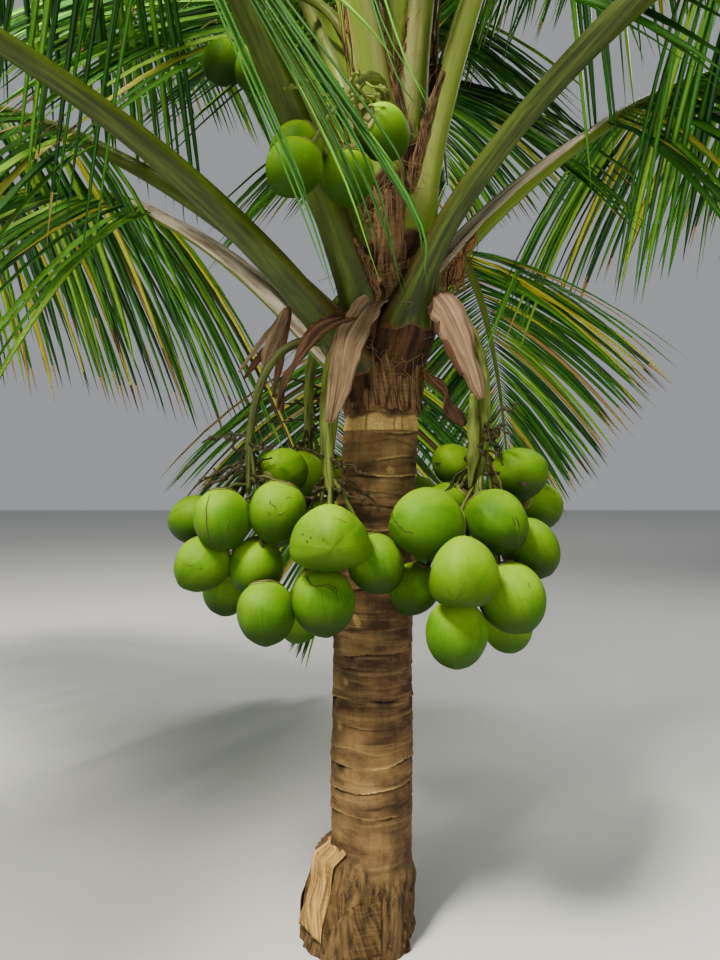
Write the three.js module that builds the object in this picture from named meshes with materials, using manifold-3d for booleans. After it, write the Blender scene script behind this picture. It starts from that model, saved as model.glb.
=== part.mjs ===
// Dwarf coconut palm in fruit, as a rooted plant from a flat cut at ground level to the spear leaf.
// Millimetres, +Z up. The origin is the middle of the cut, +X is to the right, +Y is away.
import * as THREE from 'three';
import { mergeVertices } from 'three/addons/utils/BufferGeometryUtils.js';
import Module from 'manifold-3d';

const wasm = await Module();
wasm.setup();

const GAP = 0.35; // left between neighbouring solids, about 0.3 once facets are counted
const CUT_GAP = 0.3; // between the two solids of a parted frond
const SMOOTHING = 0.1; // slivers smaller than this are cleared from a joined or cut solid

// A full frond and its leaflets, which are larger and fewer than life.
const FULL_FROND = 3500;
const PETIOLE = 1150; // leafless stretch at the foot
const OLD_FRONDS = 3; // the first ones listed are the oldest
const LEAF_PAIRS = 11;
const LEAF_LENGTH = 1150;
const LEAF_WIDTH = 104;
const LEAF_ROOT = 44; // how much of the rib one leaflet's root takes up
const LEAF_THICKNESS = 0.011; // of its length
const LEAF_SWELL = { from: 0.4, span: 0.47 }; // of half a wave: how leaflets shorten towards the frond's tip
const LEAF_ANGLE = { foot: 92, tip: 28 }; // from the rib, in degrees
const LEAF_TURN = 0.8; // how soon that angle narrows
const LEAF_DROP = 0.4; // share of a leaflet's hang that it has from its root
const LEAF_LIFT = 0.12; // how far leaflets start above the plane of the rib
const TURNS = [0, 7, -7, 14, -14]; // degrees by which a leaflet is turned where it would touch something
const TURN_SPREAD = 5; // uneven growth of the leaflets' angles
const LOWEST_LEAF = 25; // no leaflet reaches lower than this above the ground

// The stem: height, lean to the right and radius of the places that set its line.
const STEM = [
  { height: 0, lean: 15, radius: 165 },
  { height: 130, lean: 22, radius: 152 },
  { height: 173, lean: 30, radius: 144 },
  { height: 245, lean: 39, radius: 135 },
  { height: 272, lean: 61, radius: 114 },
  { height: 650, lean: 61, radius: 113 },
  { height: 1290, lean: 76, radius: 111 },
  { height: 1460, lean: 84, radius: 108 },
  { height: 1700, lean: 107, radius: 106 },
  { height: 2020, lean: 127, radius: 86 },
  { height: 2300, lean: 139, radius: 60 },
  { height: 2520, lean: 146, radius: 16 },
];
const STEM_SIDES = 18;
const STEM_RINGS = 26;
const SCAR_STEP = 3; // how far one leaf-scar ring stands out from the next

// The rib of a full frond: distance from its foot, width and depth.
const RIB = [
  { along: 0, width: 168, depth: 66 },
  { along: 120, width: 128, depth: 60 },
  { along: 240, width: 104, depth: 60 },
  { along: 500, width: 86, depth: 56 },
  { along: 1000, width: 62, depth: 44 },
  { along: 1500, width: 44, depth: 32 },
  { along: 2500, width: 24, depth: 18 },
  { along: 3500, width: 9, depth: 7 },
];
const FOOT_STEPS = [0, 80, 170, 300, 560]; // where the section of the petiole is set
const KEEL = 0.6; // share of the rib's depth that lies below its middle line
const START_REACH = 150; // how far the steep start of a frond carries

// Each frond: direction seen from above (degrees from +X towards +Y), height of its foot, how steeply it
// starts, how steeply it then rises, how far it bends down by its tip, how early it bends, its length, and
// how strongly its leaflets hang. Girth and leaf are the shares of the usual width of its rib and length of
// its leaflets, where they aren't 1. A frond that arches far is parted in two, after so many leaf pairs.
const FRONDS = [
  {
    to: 146, foot: 1585, start: 46, rise: 48, droop: 72, bend: 1.1, length: 3300, hang: 1.9, split: 3,
    leaf: 1.2,
  },
  { to: 71, foot: 1660, start: 69, rise: 74, droop: 140, bend: 0.68, length: 3100, hang: 1.2, split: 3 },
  { to: 97, foot: 1620, start: 60, rise: 44, droop: 120, bend: 0.7, length: 3000, hang: 1.3, split: 3 },
  { to: 207, foot: 1600, start: 59, rise: 49, droop: 80, bend: 1, length: 3500, hang: 1.9, split: 4 },
  {
    to: 306, foot: 1710, start: 85, rise: 41, droop: 87, bend: 1.05, length: 3500, hang: 1.9, split: 4,
    girth: 0.8,
  },
  { to: 80, foot: 1860, start: 80, rise: 68, droop: 84, bend: 1, length: 3300, hang: 1.3, split: 3 },
  { to: 162, foot: 1685, start: 57, rise: 46, droop: 55, bend: 1, length: 3400, hang: 1.8 },
  { to: 33, foot: 1800, start: 62, rise: 47, droop: 36, bend: 0.9, length: 3400, hang: 1.9 },
  { to: 218, foot: 1740, start: 73, rise: 65, droop: 57, bend: 1.3, length: 3600, hang: 1.8 },
  { to: 126, foot: 1890, start: 80, rise: 66, droop: 66, bend: 1.2, length: 3400, hang: 1.4 },
  { to: 355, foot: 1870, start: 76, rise: 55.5, droop: 66, bend: 1.1, length: 3500, hang: 1.9, girth: 0.8 },
  { to: 52, foot: 1940, start: 82, rise: 74, droop: 64, bend: 1.2, length: 3400, hang: 1.3, girth: 0.75 },
  { to: 188, foot: 1960, start: 82, rise: 64, droop: 68, bend: 1.2, length: 3500, hang: 1.5 },
  { to: 330, foot: 1985, start: 87, rise: 75, droop: 61, bend: 1.4, length: 3500, hang: 1.3, girth: 0.75 },
  { to: 298, foot: 2220, start: 86, rise: 78, droop: 54, bend: 1.5, length: 3200, hang: 1.2, girth: 0.8 },
  { to: 94, foot: 2080, start: 80, rise: 64, droop: 62, bend: 1.2, length: 3400, hang: 1.2 },
  { to: 142, foot: 2130, start: 82, rise: 69, droop: 58, bend: 1.3, length: 3400, hang: 1.2 },
  { to: 234, foot: 2150, start: 84, rise: 73, droop: 56, bend: 1.4, length: 3400, hang: 1.1 },
  { to: 10, foot: 2180, start: 84, rise: 74, droop: 56, bend: 1.4, length: 3400, hang: 1.1, girth: 0.75 },
  { to: 58, foot: 2210, start: 84, rise: 75, droop: 52, bend: 1.5, length: 3300, hang: 1, girth: 0.75 },
  { to: 183, foot: 2240, start: 85, rise: 78, droop: 50, bend: 1.6, length: 3200, hang: 0.9 },
  { to: 78, foot: 2290, start: 86, rise: 80, droop: 44, bend: 1.7, length: 3000, hang: 0.8 },
  { to: 266, foot: 2350, start: 87, rise: 83, droop: 38, bend: 1.8, length: 2800, hang: 0.7 },
];

// The closed youngest leaf
const SPEAR = { foot: 2505, length: 2050, radius: 26, tipRadius: 3, lean: 60 };

// Bunches: the stalk's line from its axil to the hub where the nuts hang, its radius there, and each nut as
// its middle and its width. A nut is longer than wide and points away from the hub.
const NUT_LENGTH = 1.1; // of its width
const NUT_TAPER = 0.08; // how much narrower it is at its free end
const NUT_SIDES = 8;
const NUT_RINGS = 5;
const STRAND_RADIUS = 8;
const BUNCHES = {
  bunch_left: {
    radius: 11,
    stalk: [[0, -60, 1660], [-130, -100, 1680], [-225, -130, 1600], [-268, -148, 1430], [-272, -150, 1270]],
    nuts: [
      [-335, -200, 1195, 150],
      [-191, -200, 1216, 149],
      [-189, -70, 1320, 138],
      [-440, -60, 1188, 134],
      [-394, -170, 1074, 142],
      [-252, -160, 1068, 144],
      [-351, -40, 986, 134],
      [-215, -240, 959, 150],
    ],
  },
  bunch_left_inner: {
    radius: 17,
    stalk: [[20, -70, 1700], [-40, -150, 1640], [-62, -165, 1500], [-60, -170, 1360], [-50, -185, 1270]],
    nuts: [
      [-67, -270, 992, 158],
      [-47, -330, 1153, 178],
      [68, -245, 1085, 144],
      [-137, -130, 926, 126],
    ],
  },
  bunch_right: {
    radius: 17,
    stalk: [[200, -40, 1830], [300, -90, 1750], [352, -120, 1620], [362, -130, 1450], [345, -130, 1290]],
    nuts: [
      [193, -270, 1189, 176],
      [375, -240, 1190, 162],
      [273, -360, 1074, 166],
      [412, -260, 1001, 168],
      [266, -290, 916, 155],
      [482, -150, 1115, 154],
      [459, -120, 1318, 144],
      [532, -20, 1226, 138],
      [284, -80, 1344, 116],
      [263, -110, 1220, 138],
      [170, -165, 1009, 130],
      [423, -140, 908, 134],
    ],
  },
  bunch_upper: {
    radius: 14,
    stalk: [[110, -60, 2330], [70, -190, 2350], [10, -290, 2290], [-10, -320, 2215]],
    nuts: [
      [85, -240, 2185, 136],
      [-7, -262, 2066, 134],
      [-130, -400, 2030, 130],
      [-132, -305, 2115, 126],
    ],
  },
  bunch_upper_left: {
    radius: 13,
    stalk: [[80, 30, 2420], [-60, 80, 2690], [-220, 70, 2755], [-315, 50, 2665]],
    nuts: [
      [-369, 0, 2500, 118],
      [-285, 5, 2482, 116],
      [-332, 90, 2575, 112],
      [-262, 85, 2535, 112],
    ],
  },
};

// Bunches on the far side hang by one rule: nuts in rings round the hub.
const FAR_BUNCHES = { bunch_back: { to: 84, foot: 1780 }, bunch_back_left: { to: 140, foot: 1850 } };
const FAR_REACH = 330; // of the hub from the trunk's middle
const FAR_DROP = 480; // of the hub below the stalk's foot
const FAR_STALK = 16;
const FAR_NUT = 142;
const FAR_RINGS = [
  { drop: 60, radius: 92, nuts: 3 },
  { drop: 205, radius: 88, nuts: 3 },
];

// Dried spathes and strips of sheath: width at the middle, and the line that each hangs along.
const SPATHE_THICKNESS = 12;
const SPATHES = {
  spathe_front: {
    width: 84,
    line: [[88, -90, 1800], [34, -165, 1735], [-8, -200, 1610], [-42, -212, 1450]],
  },
  spathe_front_side: {
    width: 44,
    line: [[60, -92, 1745], [-50, -190, 1700], [-130, -226, 1590], [-178, -235, 1480]],
  },
  spathe_left: {
    width: 74,
    line: [[-40, 40, 1760], [-150, 20, 1795], [-250, -10, 1700], [-330, -30, 1590]],
  },
  spathe_right: {
    width: 96,
    line: [[205, -70, 1850], [262, -140, 1815], [308, -165, 1690], [352, -170, 1520]],
  },
  spathe_right_low: {
    width: 50,
    line: [[176, -46, 1604], [232, -110, 1560], [262, -125, 1500], [292, -125, 1440]],
  },
};

const PAINT = {
  bark: { color: 0x6f563a, roughness: 0.95 },
  old: { color: 0x8a8a35, roughness: 0.6 },
  frond: { color: 0x4f7a2a, roughness: 0.55 },
  spear: { color: 0xa9bb55, roughness: 0.5 },
  nut: { color: 0x7fa83a, roughness: 0.45 },
  spathe: { color: 0xa78258, roughness: 0.85 },
};

const UP = new THREE.Vector3(0, 0, 1);
const vector = (place) => new THREE.Vector3(...place);
const radians = THREE.MathUtils.degToRad;

// A repeatable number from 0 to 1 for a pair of counts.
function chance(one, other) {
  const value = Math.sin(one * 12.9898 + other * 78.233) * 43758.5453;
  return value - Math.floor(value);
}

// The values of a list of stations, read off at one distance along it.
function stationAt(stations, measure, distance) {
  const last = stations[stations.length - 1];
  const next = stations.find((station) => station[measure] >= distance) ?? last;
  const before = stations[Math.max(0, stations.indexOf(next) - 1)];
  const span = next[measure] - before[measure];
  const share = span > 0 ? (distance - before[measure]) / span : 0;
  return Object.fromEntries(
    Object.keys(next).map((key) => [key, THREE.MathUtils.lerp(before[key], next[key], Math.min(share, 1))]),
  );
}

// Moves each vertex of a geometry to where place(vertex) says.
function bend(geometry, place) {
  const positions = geometry.getAttribute('position');
  const vertex = new THREE.Vector3();
  for (let i = 0; i < positions.count; i += 1) {
    place(vertex.fromBufferAttribute(positions, i));
    positions.setXYZ(i, vertex.x, vertex.y, vertex.z);
  }
  return geometry;
}

// A closed geometry as a solid that can be joined and cut.
function solidOf(geometry) {
  geometry.deleteAttribute('normal');
  geometry.deleteAttribute('uv');
  const merged = mergeVertices(geometry, 1e-4);
  return new wasm.Manifold(
    new wasm.Mesh({
      numProp: 3,
      vertProperties: Float32Array.from(merged.getAttribute('position').array),
      triVerts: Uint32Array.from(merged.index.array),
    }),
  );
}

// The largest single body of a solid: scraps go, and a hollow that joining has sealed is filled.
function largest(solid) {
  return solid.decompose().reduce((best, body) => (body.volume() > best.volume() ? body : best));
}

function meshOf(solid, name, paint) {
  const { numProp, vertProperties, triVerts } = solid.getMesh();
  const positions = new Float32Array((vertProperties.length / numProp) * 3);
  for (let i = 0; i < positions.length / 3; i += 1) {
    positions.set(vertProperties.subarray(i * numProp, i * numProp + 3), i * 3);
  }
  const geometry = new THREE.BufferGeometry();
  geometry.setAttribute('position', new THREE.BufferAttribute(positions, 3));
  geometry.setIndex([...triVerts]);
  geometry.computeVertexNormals();
  const mesh = new THREE.Mesh(geometry, new THREE.MeshStandardMaterial(PAINT[paint]));
  mesh.name = name;
  return mesh;
}

// A closed tube with flat ends. frames[i] has its middle, its two directions and its two half sizes.
function tube(frames, sides) {
  const steps = frames.length - 1;
  const geometry = new THREE.CylinderGeometry(1, 1, 1, sides, steps, false, Math.PI / sides);
  return solidOf(
    bend(geometry, (vertex) => {
      const frame = frames[Math.round((vertex.y + 0.5) * steps)];
      const { x, z } = vertex;
      vertex.copy(frame.middle);
      vertex.addScaledVector(frame.across, x * frame.halfWidth);
      vertex.addScaledVector(frame.lift, z * frame.halfDepth);
    }),
  );
}

// A round rod along a curve whose radius runs from one value to another.
function rod(curve, from, to, sides, steps, grow) {
  const frames = [];
  for (let i = 0; i <= steps; i += 1) {
    const share = i / steps;
    const tangent = curve.getTangent(share);
    const side = Math.abs(tangent.z) > 0.9 ? new THREE.Vector3(1, 0, 0) : UP;
    const across = tangent.clone().cross(side).normalize();
    const lift = across.clone().cross(tangent).normalize();
    const half = THREE.MathUtils.lerp(from, to, share) + grow;
    frames.push({ middle: curve.getPoint(share), across, lift, halfWidth: half, halfDepth: half });
  }
  return tube(frames, sides);
}

function stemAt(height) {
  const { lean, radius } = stationAt(STEM, 'height', height);
  return { middle: new THREE.Vector3(lean, 0, height), radius };
}

// The trunk from its flat cut to its tip among the youngest leaves, ringed by leaf scars.
function trunk(grow) {
  const top = STEM[STEM.length - 1].height;
  const frames = [];
  for (let i = 0; i <= STEM_RINGS; i += 1) {
    const height = top * (i / STEM_RINGS);
    const { middle, radius } = stemAt(height);
    const scar = i % 2 === 0 ? SCAR_STEP : 0;
    const half = radius + scar + grow;
    const across = new THREE.Vector3(1, 0, 0);
    const lift = new THREE.Vector3(0, -1, 0);
    middle.z += i === STEM_RINGS ? grow : 0;
    frames.push({ middle, across, lift, halfWidth: half, halfDepth: half });
  }
  return tube(frames, STEM_SIDES);
}

// The middle line of a frond, with its direction at each point, in fine equal steps.
function frondLine(frond) {
  const steps = 70;
  const step = frond.length / steps;
  const heading = radians(frond.to);
  const outward = new THREE.Vector3(Math.cos(heading), Math.sin(heading), 0);
  const { middle, radius } = stemAt(frond.foot);
  const point = middle.clone().addScaledVector(outward, radius);
  const line = [];
  for (let i = 0; i <= steps; i += 1) {
    const along = i * step;
    const early = (frond.start - frond.rise) * Math.exp(-along / START_REACH);
    const climb = radians(frond.rise + early - frond.droop * (along / frond.length) ** frond.bend);
    const tangent = outward.clone().multiplyScalar(Math.cos(climb)).addScaledVector(UP, Math.sin(climb));
    const across = tangent.clone().cross(UP).normalize();
    line.push({ along, middle: point.clone(), tangent, across, lift: across.clone().cross(tangent) });
    point.addScaledVector(tangent, step);
  }
  return line;
}

// A place on a frond's line, between its fine steps.
function onLine(line, along) {
  const step = line[1].along;
  const index = Math.min(Math.floor(along / step), line.length - 2);
  const share = along / step - index;
  const before = line[index];
  const after = line[index + 1];
  const mix = (key) => before[key].clone().lerp(after[key], share);
  return { middle: mix('middle'), tangent: mix('tangent'), across: mix('across'), lift: mix('lift') };
}

// The distances along a frond where its leaf pairs stand.
function pairsOf(frond) {
  const petiole = (PETIOLE * frond.length) / FULL_FROND;
  const spacing = (frond.length - petiole) / LEAF_PAIRS;
  return Array.from({ length: LEAF_PAIRS }, (unused, i) => petiole + spacing * (i + 0.4));
}

// Where the rib's section is set along one piece of a frond. A station where a leaf pair starts names it.
function stationsOf(frond, first, last) {
  const stations = [];
  if (first === 0) {
    FOOT_STEPS.forEach((along) => stations.push({ along: (along * frond.length) / FULL_FROND }));
  } else {
    stations.push({ along: cutOf(frond, first) + CUT_GAP });
  }
  pairsOf(frond).forEach((along, i) => {
    if (i >= first && i < last) {
      stations.push({ along: along - LEAF_ROOT / 2, pair: i }, { along: along + LEAF_ROOT / 2 });
    }
  });
  stations.push({ along: last < LEAF_PAIRS ? cutOf(frond, last) : frond.length });
  return stations;
}

// Where a frond is parted in two: halfway between two leaf pairs.
function cutOf(frond, pair) {
  const pairs = pairsOf(frond);
  return (pairs[pair - 1] + pairs[pair]) / 2;
}

// The three corners of the rib's section at a station: left and right above, and the keel below.
function sectionAt(frond, line, along, grow) {
  const { middle, across, lift } = onLine(line, along);
  const { width: full, depth } = stationAt(RIB, 'along', (along * FULL_FROND) / frond.length);
  const width = full * (frond.girth ?? 1);
  const corner = (sideways, upward) =>
    middle.clone().addScaledVector(across, sideways).addScaledVector(lift, upward);
  return {
    left: corner(-width / 2 - 2 * grow, depth * (1 - KEEL) + grow),
    right: corner(width / 2 + 2 * grow, depth * (1 - KEEL) + grow),
    keel: corner(0, -depth * KEEL - 2 * grow),
  };
}

// Moves a section of the rib along it.
function shiftSection(section, tangent, distance) {
  Object.values(section).forEach((corner) => corner.addScaledVector(tangent, distance));
}

// One leaflet as a ring of three points halfway along it and a tip: it leaves the rib at an angle and hangs.
function leafletOf(frond, line, pair, side, turn) {
  const share = pair / (LEAF_PAIRS - 1);
  const { middle, tangent, across, lift } = onLine(line, pairsOf(frond)[pair]);
  const angle = radians(THREE.MathUtils.lerp(LEAF_ANGLE.foot, LEAF_ANGLE.tip, share ** LEAF_TURN) + turn);
  const swell = Math.sin(Math.PI * (LEAF_SWELL.from + LEAF_SWELL.span * share)) ** 0.8;
  const length = LEAF_LENGTH * (frond.leaf ?? 1) * (frond.length / FULL_FROND) * swell;
  const away = tangent.clone().multiplyScalar(Math.cos(angle));
  away.addScaledVector(across, side * Math.sin(angle)).addScaledVector(lift, LEAF_LIFT * Math.sin(angle));
  away.normalize();
  const sag = frond.hang * (1 - 0.45 * share);
  const hangAt = (reach) => sag * THREE.MathUtils.lerp(LEAF_DROP, 1, reach);
  const wayAt = (reach) => away.clone().addScaledVector(UP, -hangAt(reach)).normalize();
  const mid = middle.clone().addScaledVector(wayAt(0.25), length / 2);
  const tip = mid.clone().addScaledVector(wayAt(0.75), length / 2);
  const along = tangent.clone().addScaledVector(away, -tangent.dot(away)).normalize();
  const below = along.clone().cross(away).multiplyScalar(side).normalize();
  const halfWidth = (LEAF_WIDTH / 2) * (1 - 0.4 * share);
  return {
    near: mid.clone().addScaledVector(along, -halfWidth),
    far: mid.clone().addScaledVector(along, halfWidth),
    ridge: mid.clone().addScaledVector(below, length * LEAF_THICKNESS),
    tip,
  };
}

// The faces of a leaflet that stands on the side of a rib between two sections, as loops of points.
function leafletFaces(blade, here, next, side) {
  const { near, far, ridge, tip } = blade;
  const edge = side > 0 ? 'right' : 'left';
  const root = [here[edge], here.keel, next.keel, next[edge]];
  const ring = [near, ridge, ridge, far];
  const faces = root.map((point, i) => [point, root[(i + 1) % 4], ring[(i + 1) % 4], ring[i]]);
  faces.push([near, ridge, tip], [ridge, far, tip], [far, near, tip]);
  return { faces: side > 0 ? faces : faces.map((face) => [...face].reverse()), root };
}

// A loop of three or four points as triangles. Four are split along the diagonal that lies further out, so
// that a twisted face bulges and never dips through the one behind it.
function trianglesOf(points) {
  if (points.length < 4) {
    return [points];
  }
  const [a, b, c, d] = points;
  const outward = c.clone().sub(a).cross(d.clone().sub(b));
  const between = b.clone().add(d).sub(a).sub(c);
  return between.dot(outward) > 0 ? [[a, b, d], [b, c, d]] : [[a, b, c], [a, c, d]];
}

// A solid from loops of points that close it.
function solidFromFaces(faces) {
  const positions = [];
  for (const face of faces) {
    const points = face.filter((point, i) => point !== face[(i + 1) % face.length]);
    trianglesOf(points).flat().forEach((point) => positions.push(...point));
  }
  const geometry = new THREE.BufferGeometry();
  geometry.setAttribute('position', new THREE.Float32BufferAttribute(positions, 3));
  return solidOf(geometry);
}

// A leaflet alone, closed at its root, to try whether it is clear of its surroundings.
function looseLeaflet(blade, here, next, side) {
  const { faces, root } = leafletFaces(blade, here, next, side);
  return solidFromFaces([...faces, side > 0 ? [...root].reverse() : root]);
}

const bladeKey = (pair, side) => `${pair} ${side}`;

// One piece of a frond: its three-sided rib, with the leaflets that stand on it in the same skin.
function frondPiece(frond, line, first, last, grow, blades) {
  const stations = stationsOf(frond, first, last);
  const sections = stations.map(({ along }) => sectionAt(frond, line, along, grow));
  const faces = [];
  sections.slice(0, -1).forEach((here, i) => {
    const next = sections[i + 1];
    const { pair } = stations[i];
    faces.push([here.left, here.right, next.right, next.left]);
    for (const side of [1, -1]) {
      const blade = blades.get(bladeKey(pair, side));
      const right = [here.right, here.keel, next.keel, next.right];
      const left = [here.left, next.left, next.keel, here.keel];
      faces.push(...(blade ? leafletFaces(blade, here, next, side).faces : [side > 0 ? right : left]));
    }
  });
  const start = sections[0];
  const end = sections[sections.length - 1];
  shiftSection(start, onLine(line, stations[0].along).tangent, -grow);
  shiftSection(end, onLine(line, stations[stations.length - 1].along).tangent, grow);
  faces.push([start.left, start.keel, start.right], [end.left, end.right, end.keel]);
  return solidFromFaces(faces);
}

// One nut: an egg that tapers towards its free end.
function nut(place, hub, grow) {
  const middle = vector(place);
  const half = place[3] / 2;
  const axis = middle.clone().sub(hub).normalize();
  const side = Math.abs(axis.z) > 0.9 ? new THREE.Vector3(1, 0, 0) : UP;
  const across = axis.clone().cross(side).normalize();
  const lift = across.clone().cross(axis).normalize();
  return solidOf(
    bend(new THREE.SphereGeometry(1, NUT_SIDES, NUT_RINGS), (vertex) => {
      const { x, y, z } = vertex;
      const girth = (half + grow) * (1 - NUT_TAPER * y);
      vertex.copy(middle).addScaledVector(axis, y * (half * NUT_LENGTH + grow));
      vertex.addScaledVector(across, x * girth).addScaledVector(lift, z * girth);
    }),
  );
}

// A bunch: its stalk, its nuts, and one strand from the hub into each nut.
function bunch({ stalk, radius, nuts }, grow) {
  const points = stalk.map(vector);
  const hub = points[points.length - 1];
  const curve = new THREE.CatmullRomCurve3(points);
  let solid = rod(curve, radius * 1.25, radius, 5, 7, grow);
  nuts.forEach((place, i) => {
    const start = curve.getPoint(1 - (0.22 * (i + 0.5)) / nuts.length);
    const strand = new THREE.LineCurve3(start, vector(place));
    solid = solid.add(rod(strand, STRAND_RADIUS, STRAND_RADIUS, 3, 1, grow)).add(nut(place, hub, grow));
  });
  return solid;
}

// The stalk and nuts of a bunch on the far side, from its direction and the height of its foot.
function farBunch({ to, foot }) {
  const heading = radians(to);
  const { middle, radius } = stemAt(foot);
  const at = (out, height) => [
    middle.x + Math.cos(heading) * (radius + out),
    Math.sin(heading) * (radius + out),
    height,
  ];
  const hub = at(FAR_REACH - radius, foot - FAR_DROP);
  const nuts = FAR_RINGS.flatMap((ring, row) =>
    Array.from({ length: ring.nuts }, (unused, i) => {
      const turn = heading + (2 * Math.PI * (i + row / 2)) / ring.nuts;
      const place = [hub[0] + ring.radius * Math.cos(turn), hub[1] + ring.radius * Math.sin(turn)];
      return [...place, hub[2] - ring.drop, FAR_NUT * (0.95 + 0.1 * chance(i, row))];
    }),
  );
  const stalk = [at(-20, foot), at(110, foot - 10), at(FAR_REACH - radius - 12, foot - 190), hub];
  return { stalk, radius: FAR_STALK, nuts };
}

// A dried spathe or strip of sheath: a boat-shaped blade that hangs along its line.
function spathe({ line, width }, grow) {
  const curve = new THREE.CatmullRomCurve3(line.map(vector));
  const steps = 7;
  const frames = [];
  for (let i = 0; i <= steps; i += 1) {
    const share = i / steps;
    const tangent = curve.getTangent(share);
    const middle = curve.getPoint(share);
    const { middle: axis } = stemAt(middle.z);
    const outward = middle.clone().sub(axis).setZ(0).normalize();
    const across = outward.clone().cross(tangent).normalize();
    const lift = across.clone().cross(tangent).normalize();
    const shape = Math.sin(Math.PI * (0.12 + 0.82 * share)) ** 0.7;
    frames.push({
      middle,
      across,
      lift,
      halfWidth: (width / 2) * shape + grow,
      halfDepth: (SPATHE_THICKNESS / 2) * (0.5 + 0.5 * shape) + grow,
    });
  }
  return tube(frames, 6);
}

// The closed spear leaf on the trunk's tip.
function spear(grow) {
  const { middle } = stemAt(SPEAR.foot);
  const tip = middle.clone().add(new THREE.Vector3(SPEAR.lean, 0, SPEAR.length));
  const swell = middle.clone().lerp(tip, 0.3);
  const lower = rod(new THREE.LineCurve3(middle, swell), SPEAR.radius / 2, SPEAR.radius, 6, 2, grow);
  const upper = rod(new THREE.LineCurve3(swell, tip), SPEAR.radius, SPEAR.tipRadius, 6, 4, grow);
  return lower.add(upper);
}

const palm = new THREE.Group();
const placed = []; // the solids made so far, so that the next one keeps clear of them

// Makes a piece's solid, cut clear of the ones placed before it. The outer end of a parted frond is free.
function cutClear({ shape, before, free }) {
  let solid = shape(0);
  for (const other of free ? [] : before) {
    if (boxesMeet(solid.boundingBox(), other.solid.boundingBox())) {
      solid = solid.subtract(other.outline);
    }
  }
  return largest(largest(solid).simplify(SMOOTHING));
}

function place(name, paint, shape, free = false) {
  const item = { name, paint, shape, free, before: [...placed], outline: shape(GAP) };
  item.solid = cutClear(item);
  placed.push(item);
  return item;
}

function boxesMeet(one, other) {
  return [0, 1, 2].every((i) => one.min[i] < other.max[i] + 1 && other.min[i] < one.max[i] + 1);
}

// Whether a leaflet is clear of the ground and of every solid but its own frond.
function isClear(blade, own) {
  const box = blade.boundingBox();
  if (box.min[2] < LOWEST_LEAF) {
    return false;
  }
  return placed.every((item) => {
    const solids = item === own ? [] : [item.solid, ...(item.loose ?? [])];
    return solids.every((solid) => !boxesMeet(box, solid.boundingBox()) || blade.minGap(solid, 1) > GAP);
  });
}

// Tries each leaflet of one piece of a frond, turned a little where it would touch something.
function feather(item) {
  const { frond, line, first, last } = item;
  for (const { along, pair } of stationsOf(frond, first, last)) {
    for (const side of pair === undefined ? [] : [1, -1]) {
      const here = sectionAt(frond, line, along, 0);
      const next = sectionAt(frond, line, along + LEAF_ROOT, 0);
      const uneven = TURN_SPREAD * (chance(pair, frond.to) - 0.5);
      for (const turn of TURNS) {
        const blade = leafletOf(frond, line, pair, side, turn + uneven);
        const loose = looseLeaflet(blade, here, next, side);
        if (isClear(loose, item)) {
          item.blades.set(bladeKey(pair, side), blade);
          item.loose.push(loose);
          break;
        }
      }
    }
  }
}

place('trunk', 'bark', trunk);

const pieces = [];
FRONDS.forEach((frond, index) => {
  const line = frondLine(frond);
  const name = `frond_${String(index + 1).padStart(2, '0')}`;
  const paint = index < OLD_FRONDS ? 'old' : 'frond';
  const ends = frond.split ? [0, frond.split, LEAF_PAIRS] : [0, LEAF_PAIRS];
  ends.slice(0, -1).forEach((first, i) => {
    const last = ends[i + 1];
    const own = { frond, line, first, last, blades: new Map(), loose: [] };
    const shape = (grow) => frondPiece(frond, line, first, last, grow, own.blades);
    const item = place(first ? `${name}_end` : name, paint, shape, first !== 0);
    pieces.push(Object.assign(item, own));
  });
});
place('spear_leaf', 'spear', spear);

const bunches = { ...BUNCHES };
for (const [name, far] of Object.entries(FAR_BUNCHES)) {
  bunches[name] = farBunch(far);
}
for (const [name, parts] of Object.entries(bunches)) {
  place(name, 'nut', (grow) => bunch(parts, grow));
}
for (const [name, parts] of Object.entries(SPATHES)) {
  place(name, 'spathe', (grow) => spathe(parts, grow));
}

pieces.forEach(feather);
pieces.forEach((piece) => {
  piece.solid = cutClear(piece);
});

for (const { name, paint, solid } of placed) {
  palm.add(meshOf(solid, name, paint));
}

export default palm;
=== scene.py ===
"""Dwarf coconut palm in fruit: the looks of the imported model, in metres.

Fronds, bunches and spathes grow by the rule of the solids, carried to finer leaflets, ribs and nuts.
"""
import math
from collections import namedtuple
from types import SimpleNamespace

import bpy
import numpy as np
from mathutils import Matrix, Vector


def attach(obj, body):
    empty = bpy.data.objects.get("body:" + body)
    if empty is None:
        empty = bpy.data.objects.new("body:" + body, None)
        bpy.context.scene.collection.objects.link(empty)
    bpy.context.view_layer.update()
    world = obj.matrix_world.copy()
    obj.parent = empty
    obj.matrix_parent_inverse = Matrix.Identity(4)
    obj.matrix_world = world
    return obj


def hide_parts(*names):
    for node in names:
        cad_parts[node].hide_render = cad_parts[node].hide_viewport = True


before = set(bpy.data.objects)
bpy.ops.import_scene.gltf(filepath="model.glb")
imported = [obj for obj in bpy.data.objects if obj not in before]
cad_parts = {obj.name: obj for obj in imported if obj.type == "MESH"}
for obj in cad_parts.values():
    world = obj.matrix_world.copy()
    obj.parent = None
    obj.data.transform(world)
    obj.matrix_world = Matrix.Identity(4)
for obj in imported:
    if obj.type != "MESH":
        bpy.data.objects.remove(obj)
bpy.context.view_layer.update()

# The camera stands where the photograph was taken, looking level along +Y.
CAMERA_PLACE = (0.026, -2.15, 1.3)
CAMERA_LENS = 28
SENSOR_WIDTH = 36
SEEN_FROM, SEEN_TO = 0.02, 200  # distances from the camera
FLOOR_SIZE = 60
PALE = (0.56, 0.56, 0.54)

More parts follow.
